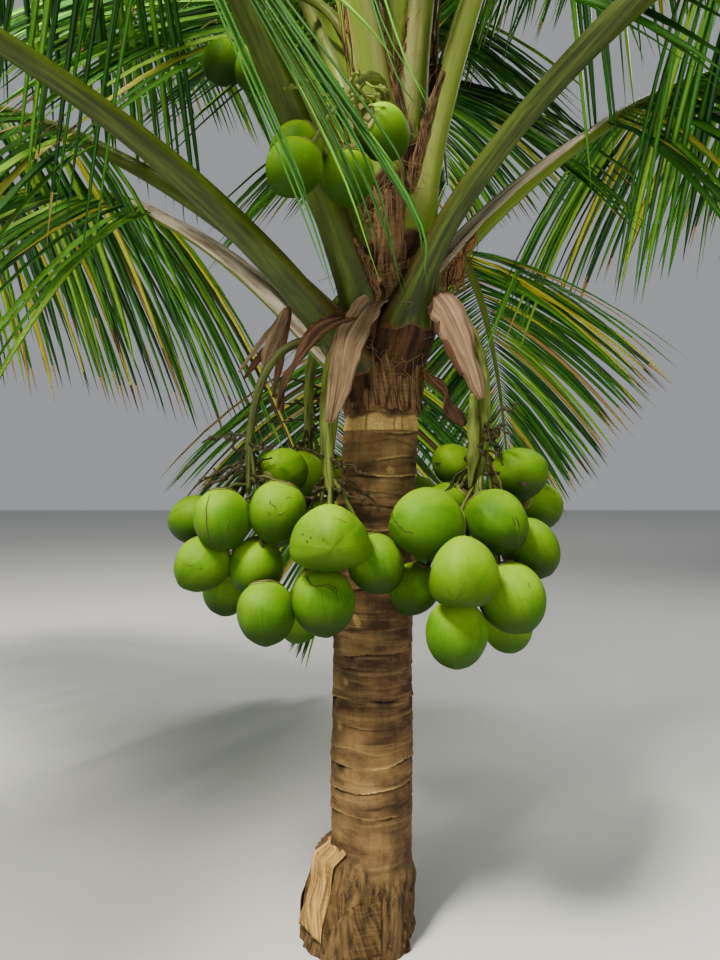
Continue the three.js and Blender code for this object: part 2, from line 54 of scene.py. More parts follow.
# The stem: height, lean to the right and radius of the places that set its line.
STEM = np.array([
    (0.0, 0.015, 0.165),
    (0.13, 0.022, 0.152),
    (0.173, 0.03, 0.144),
    (0.245, 0.039, 0.135),
    (0.272, 0.061, 0.114),
    (0.65, 0.061, 0.113),
    (1.29, 0.076, 0.111),
    (1.46, 0.084, 0.108),
    (1.7, 0.107, 0.106),
    (2.02, 0.127, 0.086),
    (2.3, 0.139, 0.06),
    (2.52, 0.146, 0.016),
])

# A full frond: its rib's distance from the foot, width and depth.
FULL_FROND = 3.5
PETIOLE = 1.15
RIB = np.array([
    (0.0, 0.168, 0.066),
    (0.12, 0.128, 0.06),
    (0.24, 0.104, 0.06),
    (0.5, 0.086, 0.056),
    (1.0, 0.062, 0.044),
    (1.5, 0.044, 0.032),
    (2.5, 0.024, 0.018),
    (3.5, 0.009, 0.007),
])
START_REACH = 0.15
LINE_STEPS = 70
LEAF_PAIRS = 11
LEAF_LENGTH = 1.15
LEAF_SWELL = (0.4, 0.47)  # of half a wave: how leaflets lengthen and shorten along the frond
LEAF_ANGLE = (92, 28)
LEAF_TURN = 0.8  # how soon that angle narrows
LEAF_LIFT = 0.12
LEAF_DROP = 0.4  # share of a leaflet's hang that it has from its root

# Each frond: direction seen from above, height of its foot, how steeply it starts and then rises, how far it
# bends down by its tip and how early, its length, how strongly its leaflets hang, its age from 0 to 1, and,
# where they aren't 1, the shares of the usual width of its rib and length of its leaflets.
Frond = namedtuple("Frond", "to foot start rise droop bend length hang age wide long", defaults=(1.0, 1.0))
FRONDS = [Frond(*row) for row in (
    (146, 1.585, 46, 48, 72, 1.1, 3.3, 1.9, 1.0, 1.0, 1.2),
    (71, 1.66, 69, 74, 140, 0.68, 3.1, 1.2, 1.0),
    (97, 1.62, 60, 44, 120, 0.7, 3.0, 1.3, 1.0),
    (207, 1.6, 59, 49, 80, 1.0, 3.5, 1.9, 0.8),
    (306, 1.71, 85, 41, 87, 1.05, 3.5, 1.9, 0.75, 0.68),
    (80, 1.86, 80, 68, 84, 1.0, 3.3, 1.3, 0.7),
    (162, 1.685, 57, 46, 55, 1.0, 3.4, 1.8, 0.7),
    (33, 1.8, 62, 47, 36, 0.9, 3.4, 1.9, 0.85),
    (218, 1.74, 73, 65, 57, 1.3, 3.6, 1.8, 0.6),
    (126, 1.89, 80, 66, 66, 1.2, 3.4, 1.4, 0.6),
    (355, 1.87, 76, 55.5, 66, 1.1, 3.5, 1.9, 0.55, 0.8),
    (52, 1.94, 82, 74, 64, 1.2, 3.4, 1.3, 0.5, 0.75),
    (188, 1.96, 82, 64, 68, 1.2, 3.5, 1.5, 0.5),
    (330, 1.985, 87, 75, 61, 1.4, 3.5, 1.3, 0.28, 0.75),
    (298, 2.22, 86, 78, 54, 1.5, 3.2, 1.2, 0.4, 0.8),
    (94, 2.08, 80, 64, 62, 1.2, 3.4, 1.2, 0.4),
    (142, 2.13, 82, 69, 58, 1.3, 3.4, 1.2, 0.35),
    (234, 2.15, 84, 73, 56, 1.4, 3.4, 1.1, 0.3),
    (10, 2.18, 84, 74, 56, 1.4, 3.4, 1.1, 0.25, 0.75),
    (58, 2.21, 84, 75, 52, 1.5, 3.3, 1.0, 0.2, 0.75),
    (183, 2.24, 85, 78, 50, 1.6, 3.2, 0.9, 0.15),
    (78, 2.29, 86, 80, 44, 1.7, 3.0, 0.8, 0.1),
    (266, 2.35, 87, 83, 38, 1.8, 2.8, 0.7, 0.0),
)]
PARTED = 6  # the first fronds are two solids each
SPEAR = SimpleNamespace(foot=2.505, length=2.05, radius=0.026, lean=0.06, pleats=12, rings=60)

# Bunches: the stalk's line and radius, and each nut's middle and width.
BUNCHES = {
    "bunch_left": (0.011, [
        (0.0, -0.06, 1.66), (-0.13, -0.1, 1.68), (-0.225, -0.13, 1.6), (-0.268, -0.148, 1.43),
        (-0.272, -0.15, 1.27),
    ], [
        (-0.335, -0.2, 1.195, 0.15), (-0.191, -0.2, 1.216, 0.149), (-0.189, -0.07, 1.32, 0.138),
        (-0.44, -0.06, 1.188, 0.134), (-0.394, -0.17, 1.074, 0.142), (-0.252, -0.16, 1.068, 0.144),
        (-0.351, -0.04, 0.986, 0.134), (-0.215, -0.24, 0.959, 0.15),
    ]),
    "bunch_left_inner": (0.017, [
        (0.02, -0.07, 1.7), (-0.04, -0.15, 1.64), (-0.062, -0.165, 1.5), (-0.06, -0.17, 1.36),
        (-0.05, -0.185, 1.27),
    ], [
        (-0.067, -0.27, 0.992, 0.158), (-0.047, -0.33, 1.153, 0.178), (0.068, -0.245, 1.085, 0.144),
        (-0.137, -0.13, 0.926, 0.126),
    ]),
    "bunch_right": (0.017, [
        (0.2, -0.04, 1.83), (0.3, -0.09, 1.75), (0.352, -0.12, 1.62), (0.362, -0.13, 1.45),
        (0.345, -0.13, 1.29),
    ], [
        (0.193, -0.27, 1.189, 0.176), (0.375, -0.24, 1.19, 0.162), (0.273, -0.36, 1.074, 0.166),
        (0.412, -0.26, 1.001, 0.168), (0.266, -0.29, 0.916, 0.155), (0.482, -0.15, 1.115, 0.154),
        (0.459, -0.12, 1.318, 0.144), (0.532, -0.02, 1.226, 0.138), (0.284, -0.08, 1.344, 0.116),
        (0.263, -0.11, 1.22, 0.138), (0.17, -0.165, 1.009, 0.13), (0.423, -0.14, 0.908, 0.134),
    ]),
    "bunch_upper": (0.014, [
        (0.11, -0.06, 2.33), (0.07, -0.19, 2.35), (0.01, -0.29, 2.29), (-0.01, -0.32, 2.215),
    ], [
        (0.085, -0.24, 2.185, 0.136), (-0.007, -0.262, 2.066, 0.134), (-0.13, -0.4, 2.03, 0.13),
        (-0.132, -0.305, 2.115, 0.126),
    ]),
    "bunch_upper_left": (0.013, [
        (0.08, 0.03, 2.42), (-0.06, 0.08, 2.69), (-0.22, 0.07, 2.755), (-0.315, 0.05, 2.665),
    ], [
        (-0.369, 0.0, 2.5, 0.118), (-0.285, 0.005, 2.482, 0.116), (-0.332, 0.09, 2.575, 0.112),
        (-0.262, 0.085, 2.535, 0.112),
    ]),
}
FAR_BUNCHES = {"bunch_back": (84, 1.78), "bunch_back_left": (140, 1.85)}
FAR_REACH = 0.33
FAR_DROP = 0.48
FAR_STALK = 0.016
FAR_NUT = 0.142
FAR_RINGS = [(0.06, 0.092, 3), (0.205, 0.088, 3)]
NUT_LENGTH = 1.1
NUT_TAPER = 0.08

# The fine surface
LEAFLETS = 88  # on each side of a rib
LEAFLET_WIDTH = 0.043
LEAFLET_STEPS = 7
RIB_SIDES = 16
RIB_STEPS = 64
TAIL = np.array([-0.15, -0.12, -0.09, -0.06, -0.035, -0.015])  # rings of a leaf base below its foot
UP = np.array((0.0, 0.0, 1.0))
TAU = 2 * math.pi


def unit(vectors):
    return vectors / np.linalg.norm(vectors, axis=-1, keepdims=True)


def stacked(*parts):
    """Points or directions from their coordinates, each given apart."""
    return np.stack(np.broadcast_arrays(*parts), -1)


def turns(sides):
    return np.arange(sides) * TAU / sides


def chance(one, other):
    """A repeatable number from 0 to 1 for a pair of counts."""
    value = math.sin(one * 12.9898 + other * 78.233) * 43758.5453
    return value - math.floor(value)


def ease(value, low, high):
    """0 below low, 1 above high, and a smooth rise between."""
    share = np.clip((value - low) / (high - low), 0, 1)
    return share * share * (3 - 2 * share)


def swell(turn, height, seed, around, rises, count=10):
    """Smooth uneven values about -1 to 1 over a cylinder: seeded waves round it and along it."""
    rng = np.random.default_rng(seed)
    total = 0
    for _ in range(count):
        wave = rng.integers(0, around + 1) * turn + rng.uniform(-rises, rises) * height
        total = total + np.sin(wave + rng.uniform(0, TAU))
    return total / math.sqrt(count / 2)


def tones(colour):
    """A colour as seen on a screen, made linear."""
    return tuple(v / 12.92 if v <= 0.04045 else ((v + 0.055) / 1.055) ** 2.4 for v in colour)


# Materials

class Shader:
    """A node material: a Principled surface and short ways to the nodes that feed it."""

    def __init__(self, name, roughness, specular):
        self.material = bpy.data.materials.new(name)
        self.material.use_nodes = True
        self.tree = self.material.node_tree
        self.surface = self.tree.nodes["Principled BSDF"]
        self.feed(self.surface, {"Roughness": roughness, "Specular IOR Level": specular})

    def feed(self, node, feeds):
        """Gives inputs of a node their values, or links them to the sockets that feed them."""
        for socket, value in feeds.items():
            if isinstance(value, bpy.types.NodeSocket):
                self.tree.links.new(value, node.inputs[socket])
            else:
                node.inputs[socket].default_value = value

    def node(self, kind, feeds, **settings):
        made = self.tree.nodes.new("ShaderNode" + kind)
        for setting, value in settings.items():
            setattr(made, setting, value)
        self.feed(made, feeds)
        return made.outputs

    def mark(self, name, output="Fac"):
        """A value or a place kept on the mesh's points."""
        return self.node("Attribute", {}, attribute_name=name)[output]

    def noise(self, stretch, detail=4, rough=0.55, source=None):
        """Noise over the marked place of each point, or over another source, stretched."""
        source = source or self.mark("place", "Vector")
        place = self.node("Mapping", {"Vector": source, "Scale": stretch})["Vector"]
        feeds = {"Vector": place, "Scale": 1, "Detail": detail, "Roughness": rough}
        return self.node("TexNoise", feeds)["Fac"]

    def cloud(self, stretch, detail, rough=0.55):
        """Noise over the space of the object."""
        return self.noise(stretch, detail, rough, self.node("TexCoord", {})["Object"])

    def ramp(self, value, low, high):
        """0 where value is under low, 1 where it is over high."""
        return self.node("MapRange", {"Value": value, "From Min": low, "From Max": high})["Result"]

    def sum(self, kind, one, other):
        return self.node("Math", {0: one, 1: other}, operation=kind)[0]

    def weigh(self, one, other, weight):
        """Two values joined, the second one by its weight."""
        return self.sum("ADD", self.sum("MULTIPLY", one, 1 - weight), self.sum("MULTIPLY", other, weight))

    def mix(self, share, one, other):
        """A share of the way from one colour to another: sockets, or colours as seen on a screen."""
        one, other = ((*tones(c), 1) if isinstance(c, tuple) else c for c in (one, other))
        return self.node("Mix", {0: share, 6: one, 7: other}, data_type="RGBA")[2]

    def blend(self, one, other, value, low, high, most=1):
        """One colour where value is low, and most of the way to another where it is high."""
        share = self.ramp(value, low, high)
        return self.mix(share if most == 1 else self.sum("MULTIPLY", share, most), one, other)

    def finish(self, colour, relief, strength, distance):
        """The material, with its colour and its relief."""
        bump = self.node("Bump", {"Height": relief, "Strength": strength, "Distance": distance})
        self.feed(self.surface, {"Base Color": colour, "Normal": bump["Normal"]})
        return self.material


def bark_material():
    """Brown bark with grain, pale lips at its scars and painted shade as dark lines under them, a fibrous tan
    bole and matted fibre.
    """
    look = Shader("bark", 0.9, 0.2)
    broad = look.cloud((7, 7, 11), 5)
    grain = look.cloud((60, 60, 9), 6, 0.65)
    rings = look.cloud((5, 5, 70), 5)
    speck = look.cloud((190, 190, 190), 3)
    brown = look.blend((0.22, 0.15, 0.09), (0.48, 0.37, 0.23), broad, 0.38, 0.62)
    brown = look.blend(brown, (0.56, 0.45, 0.29), rings, 0.52, 0.76, 0.7)
    brown = look.blend(brown, (0.2, 0.13, 0.08), grain, 0.5, 0.78, 0.6)
    brown = look.blend(brown, (0.62, 0.52, 0.36), speck, 0.64, 0.78, 0.3)
    fibre = look.blend((0.13, 0.09, 0.06), (0.38, 0.27, 0.17), grain, 0.35, 0.66)
    bole = look.blend((0.15, 0.11, 0.06), (0.43, 0.33, 0.2), grain, 0.36, 0.62)
    bole = look.blend(bole, (0.62, 0.49, 0.3), speck, 0.6, 0.72, 0.4)
    pale = look.blend((0.66, 0.5, 0.28), (0.86, 0.74, 0.46), speck, 0.3, 0.7)
    colour = brown
    # The dark mark is painted shade under the scars, with blotches and cracks
    for mark, tone in (("fibre", fibre), ("bole", bole), ("pale", pale), ("dark", (0.09, 0.06, 0.04))):
        colour = look.mix(look.mark(mark), colour, tone)
    return look.finish(colour, look.sum("ADD", grain, look.sum("MULTIPLY", speck, 0.45)), 0.7, 0.006)


def fibre_material(name, dark, light, woven=0.3):
    """Woven sheath fibre: fine strands along the marked place, and across it by the share woven."""
    look = Shader(name, 0.95, 0.15)
    both = look.weigh(look.noise((150, 7, 1), 5, 0.6), look.noise((20, 120, 1), 3), woven)
    return look.finish(look.blend(dark, light, both, 0.38, 0.64), both, 0.9, 0.004)


def rib_material(name, under, over, edge, worn):
    """A rib with fine lengthwise streaks: brown at its foot and edges, worn pale above where it is old."""
    look = Shader(name, 0.5, 0.22)
    streak = look.noise((75, 4.5, 1), 5, 0.6)
    cloud = look.noise((10, 3, 1))
    scurf = look.noise((90, 60, 1), 4, 0.7)
    # Painted light and shade: light green on the rib's upper side, dark olive below
    green = look.mix(look.mark("over"), under, over)
    # Painted shade: dark olive on the ribs of fronds aged 0.7 to 0.84
    green = look.mix(look.sum("MULTIPLY", look.mark("deep"), 0.9), green, (0.13, 0.17, 0.03))
    # Fresh green of young fronds, and painted light on the upper side of the listed ribs
    green = look.mix(look.sum("MULTIPLY", look.mark("fresh_and_painted_light"), 0.65), green, (0.5, 0.6, 0.15))
    green = look.blend(green, over, streak, 0.42, 0.72, 0.35)
    green = look.blend(green, under, cloud, 0.48, 0.75, 0.45)
    bloom = look.blend((0.5, 0.46, 0.25), (0.62, 0.62, 0.38), streak, 0.35, 0.65)
    green = look.mix(look.sum("MULTIPLY", look.mark("ashy"), look.ramp(cloud, 0.2, 0.55)), green, bloom)
    edges = look.mark("edge")
    scurfy = look.sum("MULTIPLY", look.ramp(scurf, 0.56, 0.68), edges)
    edged = look.sum("MAXIMUM", look.ramp(edges, 0.25, 0.95), scurfy)
    colour = look.mix(edged, green, look.blend((0.2, 0.13, 0.08), edge, scurf, 0.35, 0.65))
    weathered = look.blend(worn, (0.52, 0.44, 0.34), streak, 0.35, 0.65)
    patches = look.sum("ADD", look.mark("worn"), look.sum("SUBTRACT", cloud, 0.5))
    return look.finish(look.blend(colour, weathered, patches, 0.4, 0.52), streak, 0.35, 0.0025)


def nut_material(name, base, light, deep, under):
    """Smooth green husk: soft clouds, faint lengthwise streaks, a paler stem end with painted light on its
    upper side, painted shade on its underside, specks and corky scars.
    """
    look = Shader(name, 0.55, 0.11)
    streak = look.noise((18, 2.4, 1), 6, 0.65)
    colour = look.blend(deep, base, look.cloud((9, 9, 9), 4), 0.38, 0.62)
    # Paler at the stem end and on the ridges, and painted light: paler on the upper side of the husk
    colour = look.mix(look.mark("crown"), colour, light)
    colour = look.blend(colour, light, streak, 0.48, 0.74, 0.5)
    colour = look.blend(colour, light, look.cloud((420, 420, 420), 2), 0.56, 0.7, 0.22)
    # Painted shade: darker towards the underside of the husk
    colour = look.mix(look.mark("shade"), colour, under)
    colour = look.blend(colour, (0.22, 0.24, 0.06), look.cloud((150, 150, 150), 2), 0.68, 0.75, 0.65)
    colour = look.blend(colour, (0.4, 0.31, 0.13), look.cloud((34, 34, 34), 6, 0.75), 0.66, 0.72, 0.8)
    return look.finish(colour, streak, 0.16, 0.002)


def spathe_material(name, dark, light):
    """Dry woody spathe, ribbed and streaked lengthwise."""
    look = Shader(name, 0.85, 0.25)
    streak = look.noise((95, 2.2, 1), 6, 0.65)
    colour = look.blend(dark, light, look.weigh(streak, look.noise((9, 5, 1), 3), 0.25), 0.38, 0.62)
    colour = look.blend(colour, (0.2, 0.13, 0.09), look.noise((40, 9, 1), 5, 0.65), 0.54, 0.7, 0.75)
    return look.finish(colour, streak, 0.8, 0.003)


def stalk_material(name, dark, light):
    look = Shader(name, 0.6, 0.3)
    streak = look.noise((60, 9, 1), 5)
    return look.finish(look.blend(dark, light, streak, 0.38, 0.66), streak, 0.4, 0.002)


def plain(name, colour, roughness, specular):
    look = Shader(name, roughness, specular)
    look.feed(look.surface, {"Base Color": (*colour, 1)})
    return look.material


# Meshes

def placed(name, data):
    """A new object of the scene."""
    made = bpy.data.objects.new(name, data)
    bpy.context.scene.collection.objects.link(made)
    return made


def keep_on(mesh, name, kind, field, values):
    """Keeps a mark on the points of a mesh."""
    made = mesh.attributes.new(name, kind, "POINT")
    made.data.foreach_set(field, np.concatenate(values).astype(np.float32).ravel())


class Piece:
    """Gathers the points and faces of one piece, with marks on its points and a material for each face."""

    def __init__(self, name, marks=()):
        self.name = name
        self.points = []
        self.faces = []
        self.paints = []
        self.count = 0
        self.places = []
        self.marks = {mark: [] for mark in marks}

    def add(self, points, faces, paint=0, place=(0, 0, 0), **marks):
        """Adds points with their marks, and groups of faces with one paint or a list of a paint for each."""
        points = np.asarray(points, float).reshape(-1, 3)
        paints = paint if isinstance(paint, list) else [paint] * len(faces)
        for group, colours in zip(faces, paints):
            group = np.atleast_2d(group) + self.count
            self.faces.extend(group.tolist())
            self.paints.extend(np.broadcast_to(colours, len(group)))
        self.points.append(points)
        self.places.append(np.broadcast_to(np.reshape(place, (-1, 3)), points.shape))
        for mark, values in self.marks.items():
            values.append(np.broadcast_to(np.ravel(marks[mark]), len(points)))
        self.count += len(points)

    def make(self, materials, nodes=()):
        mesh = bpy.data.meshes.new(self.name)
        mesh.from_pydata(np.concatenate(self.points).tolist(), [], self.faces)
        for material in materials:
            mesh.materials.append(material)
        mesh.polygons.foreach_set("material_index", np.asarray(self.paints, np.int32))
        mesh.polygons.foreach_set("use_smooth", [True] * len(self.faces))
        keep_on(mesh, "place", "FLOAT_VECTOR", "vector", self.places)
        for mark, values in self.marks.items():
            keep_on(mesh, mark, "FLOAT", "value", values)
        mesh.validate(clean_customdata=False)
        piece = placed(self.name, mesh)
        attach(piece, "root")
        if nodes:
            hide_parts(*nodes)


def grid_faces(rows, columns, closed):
    """Faces between rows of points, closed round each row or open."""
    across = columns if closed else columns - 1
    row, column = np.meshgrid(np.arange(rows - 1), np.arange(across), indexing="ij")
    here = row * columns + column
    beside = row * columns + (column + 1) % columns
    return np.stack([here, beside, beside + columns, here + columns], -1).reshape(-1, 4)


def closed_faces(rows, columns):
    """The faces of a tube with both its ends."""
    ring = np.arange(columns)
    return [grid_faces(rows, columns, True), ring[::-1], ring + (rows - 1) * columns]


def turned(across, lift, turn):
    """Directions between two others: across at turn 0 and lift a quarter on."""
    return across * np.cos(turn)[..., None] + lift * np.sin(turn)[..., None]


def square_to(way, vectors):
    """What is left of vectors without their share along a way."""
    return vectors - way * (vectors * way).sum(-1, keepdims=True)


def frames_along(points):
    """Two directions square to a line at each of its points, turning as little as possible."""
    tangent = unit(np.gradient(points, axis=0))
    start = (1.0, 0, 0) if abs(tangent[0][2]) > 0.9 else UP
    across = [unit(np.cross(tangent[0], start))]
    for way in tangent[1:]:
        across.append(unit(across[-1] - way * across[-1].dot(way)))
    across = np.array(across)
    return across, np.cross(across, tangent)


def curve_through(points, steps):
    """A smooth line through points, in even shares (Catmull-Rom)."""
    points = np.asarray(points, float)
    padded = np.vstack([2 * points[0] - points[1], points, 2 * points[-1] - points[-2]])
    shares = np.linspace(0, len(points) - 1, steps)
    index = np.minimum(shares.astype(int), len(points) - 2)
    t = (shares - index)[:, None]
    a, b, c, d = (padded[index + i] for i in range(4))
    return 0.5 * (2 * b + (c - a) * t + (2 * a - 5 * b + 4 * c - d) * t**2 + (3 * b - a - 3 * c + d) * t**3)


def add_rod(piece, line, halves, sides, paint, seed=0):
    """A round rod along a line, closed at both ends."""
    across, lift = frames_along(line)
    turn = turns(sides)
    points = line[:, None] + turned(across[:, None], lift[:, None], turn) * halves[:, None, None]
    length = np.concatenate([[0], np.cumsum(np.linalg.norm(np.diff(line, axis=0), axis=1))])
    place = stacked(turn / TAU * 0.2 + seed, length[:, None], 0)
    piece.add(points, closed_faces(len(line), sides), paint, place)


def add_sheet(piece, top, normal, thickness, paint=0, place=None):
    """A thin closed plate: a grid of points, the same grid moved inwards, and a rim."""
    rows, columns = top.shape[:2]
    amount = rows * columns
    points = np.concatenate([top.reshape(-1, 3), (top - normal * thickness).reshape(-1, 3)])
    faces = grid_faces(rows, columns, False)
    index = np.arange(amount).reshape(rows, columns)
    rim = np.concatenate([index[0], index[1:, -1], index[-1, -2::-1], index[-2:0:-1, 0]])
    beyond = np.roll(rim, -1)
    walls = np.stack([beyond, rim, rim + amount, beyond + amount], -1)
    place = (0, 0, 0) if place is None else np.concatenate([place.reshape(-1, 3)] * 2)
    piece.add(points, [faces, faces[:, ::-1] + amount, walls], paint, place)


def stem_at(height):
    """The stem's lean and radius."""
    return [np.interp(height, STEM[:, 0], STEM[:, i]) for i in (1, 2)]


def round_stem(height, reach, turn):
    """Points at a reach from the middle of the stem."""
    return stacked(stem_at(height)[0] + reach * np.cos(turn), reach * np.sin(turn), height)


def level(heading):
    """The level direction of a heading in degrees."""
    return np.array((math.cos(math.radians(heading)), math.sin(math.radians(heading)), 0.0))


def frond_line(frond):
    """The middle line of a frond, as distances, places, tangents and the two directions square to them."""
    lean, radius = stem_at(frond.foot)
    along = np.linspace(0, frond.length, LINE_STEPS + 1)
    share = along / frond.length
    steeper = (frond.start - frond.rise) * np.exp(-along / START_REACH)
    climb = np.radians(frond.rise + steeper - frond.droop * share**frond.bend)
    tangent = level(frond.to) * np.cos(climb)[:, None] + UP * np.sin(climb)[:, None]
    steps = np.concatenate([np.zeros((1, 3)), np.cumsum(tangent[:-1], axis=0)])
    start = np.array((lean, 0.0, frond.foot)) + level(frond.to) * radius
    places = start + steps * (frond.length / LINE_STEPS)
    across = unit(np.cross(tangent, UP))
    return along, places, tangent, across, np.cross(across, tangent)


def on_line(line, along):
    """The line's place and directions at any distances."""
    return [np.stack([np.interp(along, line[0], part[:, i]) for i in range(3)], -1) for part in line[1:]]


# The trunk, ringed by leaf scars: the height of each, how deep it is and how pale its lip
SCARS = (
    (0.376, 1.0, 0.3), (0.405, 0.3, 0.2), (0.443, 0.8, 0.9), (0.47, 0.3, 0.2), (0.52, 1.0, 0.8),
    (0.545, 0.3, 0.3), (0.621, 0.6, 0.2), (0.684, 1.2, 0.4), (0.728, 0.3, 0.1), (0.776, 0.4, 0.1),
    (0.824, 0.9, 0.1), (0.88, 0.6, 0.1), (0.94, 0.8, 0.1), (1.0, 0.6, 0.1), (1.06, 0.8, 0.1),
    (1.12, 0.6, 0.4), (1.168, 1.1, 0.9), (1.23, 0.8, 0.6), (1.262, 0.3, 0.2), (1.315, 0.7, 0.9),
    (1.357, 0.4, 0.5), (1.398, 0.4, 0.9), (1.437, 0.7, 1.0), (1.486, 0.6, 0.2), (1.535, 0.5, 0.1),
)
PALE_BAND = (1.438, 1.48)
BARK_FOOT = 0.27
BARK_TOP = 1.48
TRUNK_TOP = 1.8
TRUNK_SIDES = 240
TRUNK_RINGS = 640


def scar_lines(turn):
    """The height of every scar all round the trunk: slightly tilted and wavy, never crossing."""
    lines = []
    for i, height in enumerate((-1.0, *(scar[0] for scar in SCARS), 3.0)):
        tilt = 0.002 + 0.01 * chance(i, 3)
        wave = 0.0028 * swell(turn, 0, 40 + i, 5, 1)
        lines.append(height + tilt * np.sin(turn + TAU * chance(i, 8)) + wave)
    return np.maximum.accumulate(np.array(lines), axis=0)


def near_scars(turn, height):
    """For each point: how far it is over the scar below and under the one above, how deep these two are, and
    how pale the lower one's lip is."""
    lines = scar_lines(turn)
    index = (height[:, :, None] >= lines.T[None]).sum(-1).clip(1, len(lines) - 1)
    columns = np.arange(len(turn))[None]
    depth, paleness = (np.array([0.0, *(scar[i] for scar in SCARS), 0.0])[:, None] for i in (1, 2))
    broken = [ease(swell(turn, 0, 90 + i, 4, 1), -1.0, 0.4) for i in range(len(lines))]
    lip = [ease(swell(turn, 0, 140 + i, 5, 1), -0.5, 0.7) for i in range(len(lines))]
    over = height - lines[index - 1, columns]
    under = lines[index, columns] - height
    depth, paleness = depth * broken, paleness * lip
    return over, under, depth[index - 1, columns], depth[index, columns], paleness[index - 1, columns]


def trunk_zones(turn, height):
    """How far each point is in the fibrous bole, in the bark, in the fibre above it and in the pale band."""
    ragged = 0.012 * swell(turn, 0, 18, 14, 1, 16)
    bole = 1 - ease(height + ragged + 0.04 * np.cos(turn), BARK_FOOT - 0.06, BARK_FOOT - 0.01)
    fibre = ease(height + ragged, BARK_TOP + 0.004, BARK_TOP + 0.02)
    band = ease(height, PALE_BAND[0] - 0.002, PALE_BAND[0] + 0.002)
    band = band * (1 - ease(height + ragged * 0.5, PALE_BAND[1] - 0.008, PALE_BAND[1]))
    return bole, (1 - bole) * (1 - fibre), fibre, band


def trunk_relief(wavy, scars, zones):
    """How far the surface stands out: a lip over and a groove under each scar, and each zone's roughness."""
    over, under, below, above, _ = scars
    bole, bark, fibre, _ = zones
    relief = bark * (0.0016 * (1 - over / (over + under)) + 0.0024 * below * np.exp(-over / 0.01))
    relief -= bark * 0.0032 * above * np.exp(-((under / 0.0045) ** 2))
    relief += bark * 0.0022 * wavy(5, 5, 16, 14)
    relief += bark * (0.0006 * wavy(6, 24, 60, 40) + 0.0004 * wavy(7, 9, 380, 24))
    relief += bole * (0.0028 * wavy(8, 34, 26, 40) + 0.006 * wavy(9, 6, 18))
    relief += bole * 0.005 * ease(wavy(12, 22, 60, 30), 1.0, 2.0)
    relief += fibre * (0.003 * wavy(10, 50, 60, 40) + 0.004 * wavy(11, 6, 18))
    return relief


def trunk_marks(wavy, scars, zones):
    """How pale and how dark the surface is: lips, band and spots, then painted shade in the groove under each
    scar and in a band under the deeper ones, blotches and cracks.
    """
    over, under, _, above, paleness = scars
    _, bark, _, band = zones
    patch = 0.55 + 0.45 * ease(wavy(13, 5, 60), -0.8, 0.6)
    cracks = ease(wavy(15, 60, 10, 60), 1.7, 2.1)
    lips = paleness * np.exp(-(((over - 0.002) / 0.0026) ** 2))
    spots = 0.3 * ease(wavy(16, 9, 70, 40), 2.0, 2.5)
    pale = bark * np.clip(0.9 * lips + band * patch * (1 - cracks) + spots, 0, 1)
    # Painted shade: dark in the groove just under each scar, and in a broader band under the deeper scars
    groove_shade = np.clip(above, 0, 1) * np.exp(-((under / 0.0055) ** 2))
    shaded = np.clip(above - 0.8, 0, 1) * 2.2 * ease(-under, -0.034, -0.012)
    blotches = ease(wavy(14, 5, 34, 14), 0.7, 1.6) * ease(over / (over + under), 0.25, 0.7)
    dark = bark * np.clip(0.95 * groove_shade + 0.7 * shaded + 0.45 * blotches + 0.6 * cracks * band, 0, 1)
    return pale, dark * (1 - 0.8 * band)


def make_trunk():
    turn = turns(TRUNK_SIDES)
    height = np.linspace(0, TRUNK_TOP, TRUNK_RINGS)[:, None]
    scars, zones = near_scars(turn, height), trunk_zones(turn, height)

    def wavy(*rule):
        return swell(turn, height, *rule)

    reach = stem_at(height)[1] + trunk_relief(wavy, scars, zones)
    pale, dark = trunk_marks(wavy, scars, zones)
    piece = Piece("trunk_bark", ("pale", "dark", "fibre", "bole"))
    piece.add(round_stem(height, reach, turn), closed_faces(TRUNK_RINGS, TRUNK_SIDES),
              pale=pale, dark=dark, fibre=zones[2], bole=zones[0])
    piece.make([bark_material()], ["trunk"])


CORE_SIDES = 72
CORE_RINGS = 90


def make_core(material):
    """The matted stem between the leaf bases, up to the tip."""
    turn = turns(CORE_SIDES)
    height = np.linspace(TRUNK_TOP - 0.02, STEM[-1, 0], CORE_RINGS)[:, None]
    reach = stem_at(height)[1] + 0.004 + 0.004 * swell(turn, height, 21, 30, 60, 30)
    reach = np.maximum(reach + 0.003 * swell(turn, height, 22, 6, 20), 0.006)
    piece = Piece("crown_core")
    piece.add(round_stem(height, reach, turn), closed_faces(CORE_RINGS, CORE_SIDES), 0,
              stacked(turn * 0.1, height, 0))
    piece.make([material])


# Sheets of leaf sheath: middle direction and spread in degrees, lowest and highest edge, and how far the
# sheet stands out from the stem at each of them
SHEATHS = [
    (236, 104, 1.7, 1.89, 0.006, 0.02),
    (60, 230, 1.64, 1.93, 0.006, 0.034),
    (300, 120, 1.88, 2.3, 0.003, 0.026),
    (215, 130, 1.9, 2.24, 0.002, 0.03),
    (90, 210, 1.9, 2.32, 0.003, 0.04),
    (238, 120, 2.18, 2.56, 0.01, 0.06),
    (320, 110, 2.24, 2.56, 0.004, 0.04),
    (80, 200, 2.2, 2.56, 0.01, 0.08),
    (272, 176, 1.502, 1.68, 0.003, 0.006),
]
SHEATH_STRANDS = 46
WRAP_ROWS, WRAP_COLUMNS = 30, 48

# The same round the foot of the trunk, the first one pale
FOOT_SHEATHS = [
    (212, 44, 0.05, 0.262, 0.006, 0.01),
    (264, 58, 0.03, 0.172, 0.003, 0.004),
    (338, 62, 0.026, 0.15, 0.003, 0.004),
    (60, 58, 0.03, 0.205, 0.003, 0.004),
    (150, 60, 0.026, 0.19, 0.003, 0.004),
]

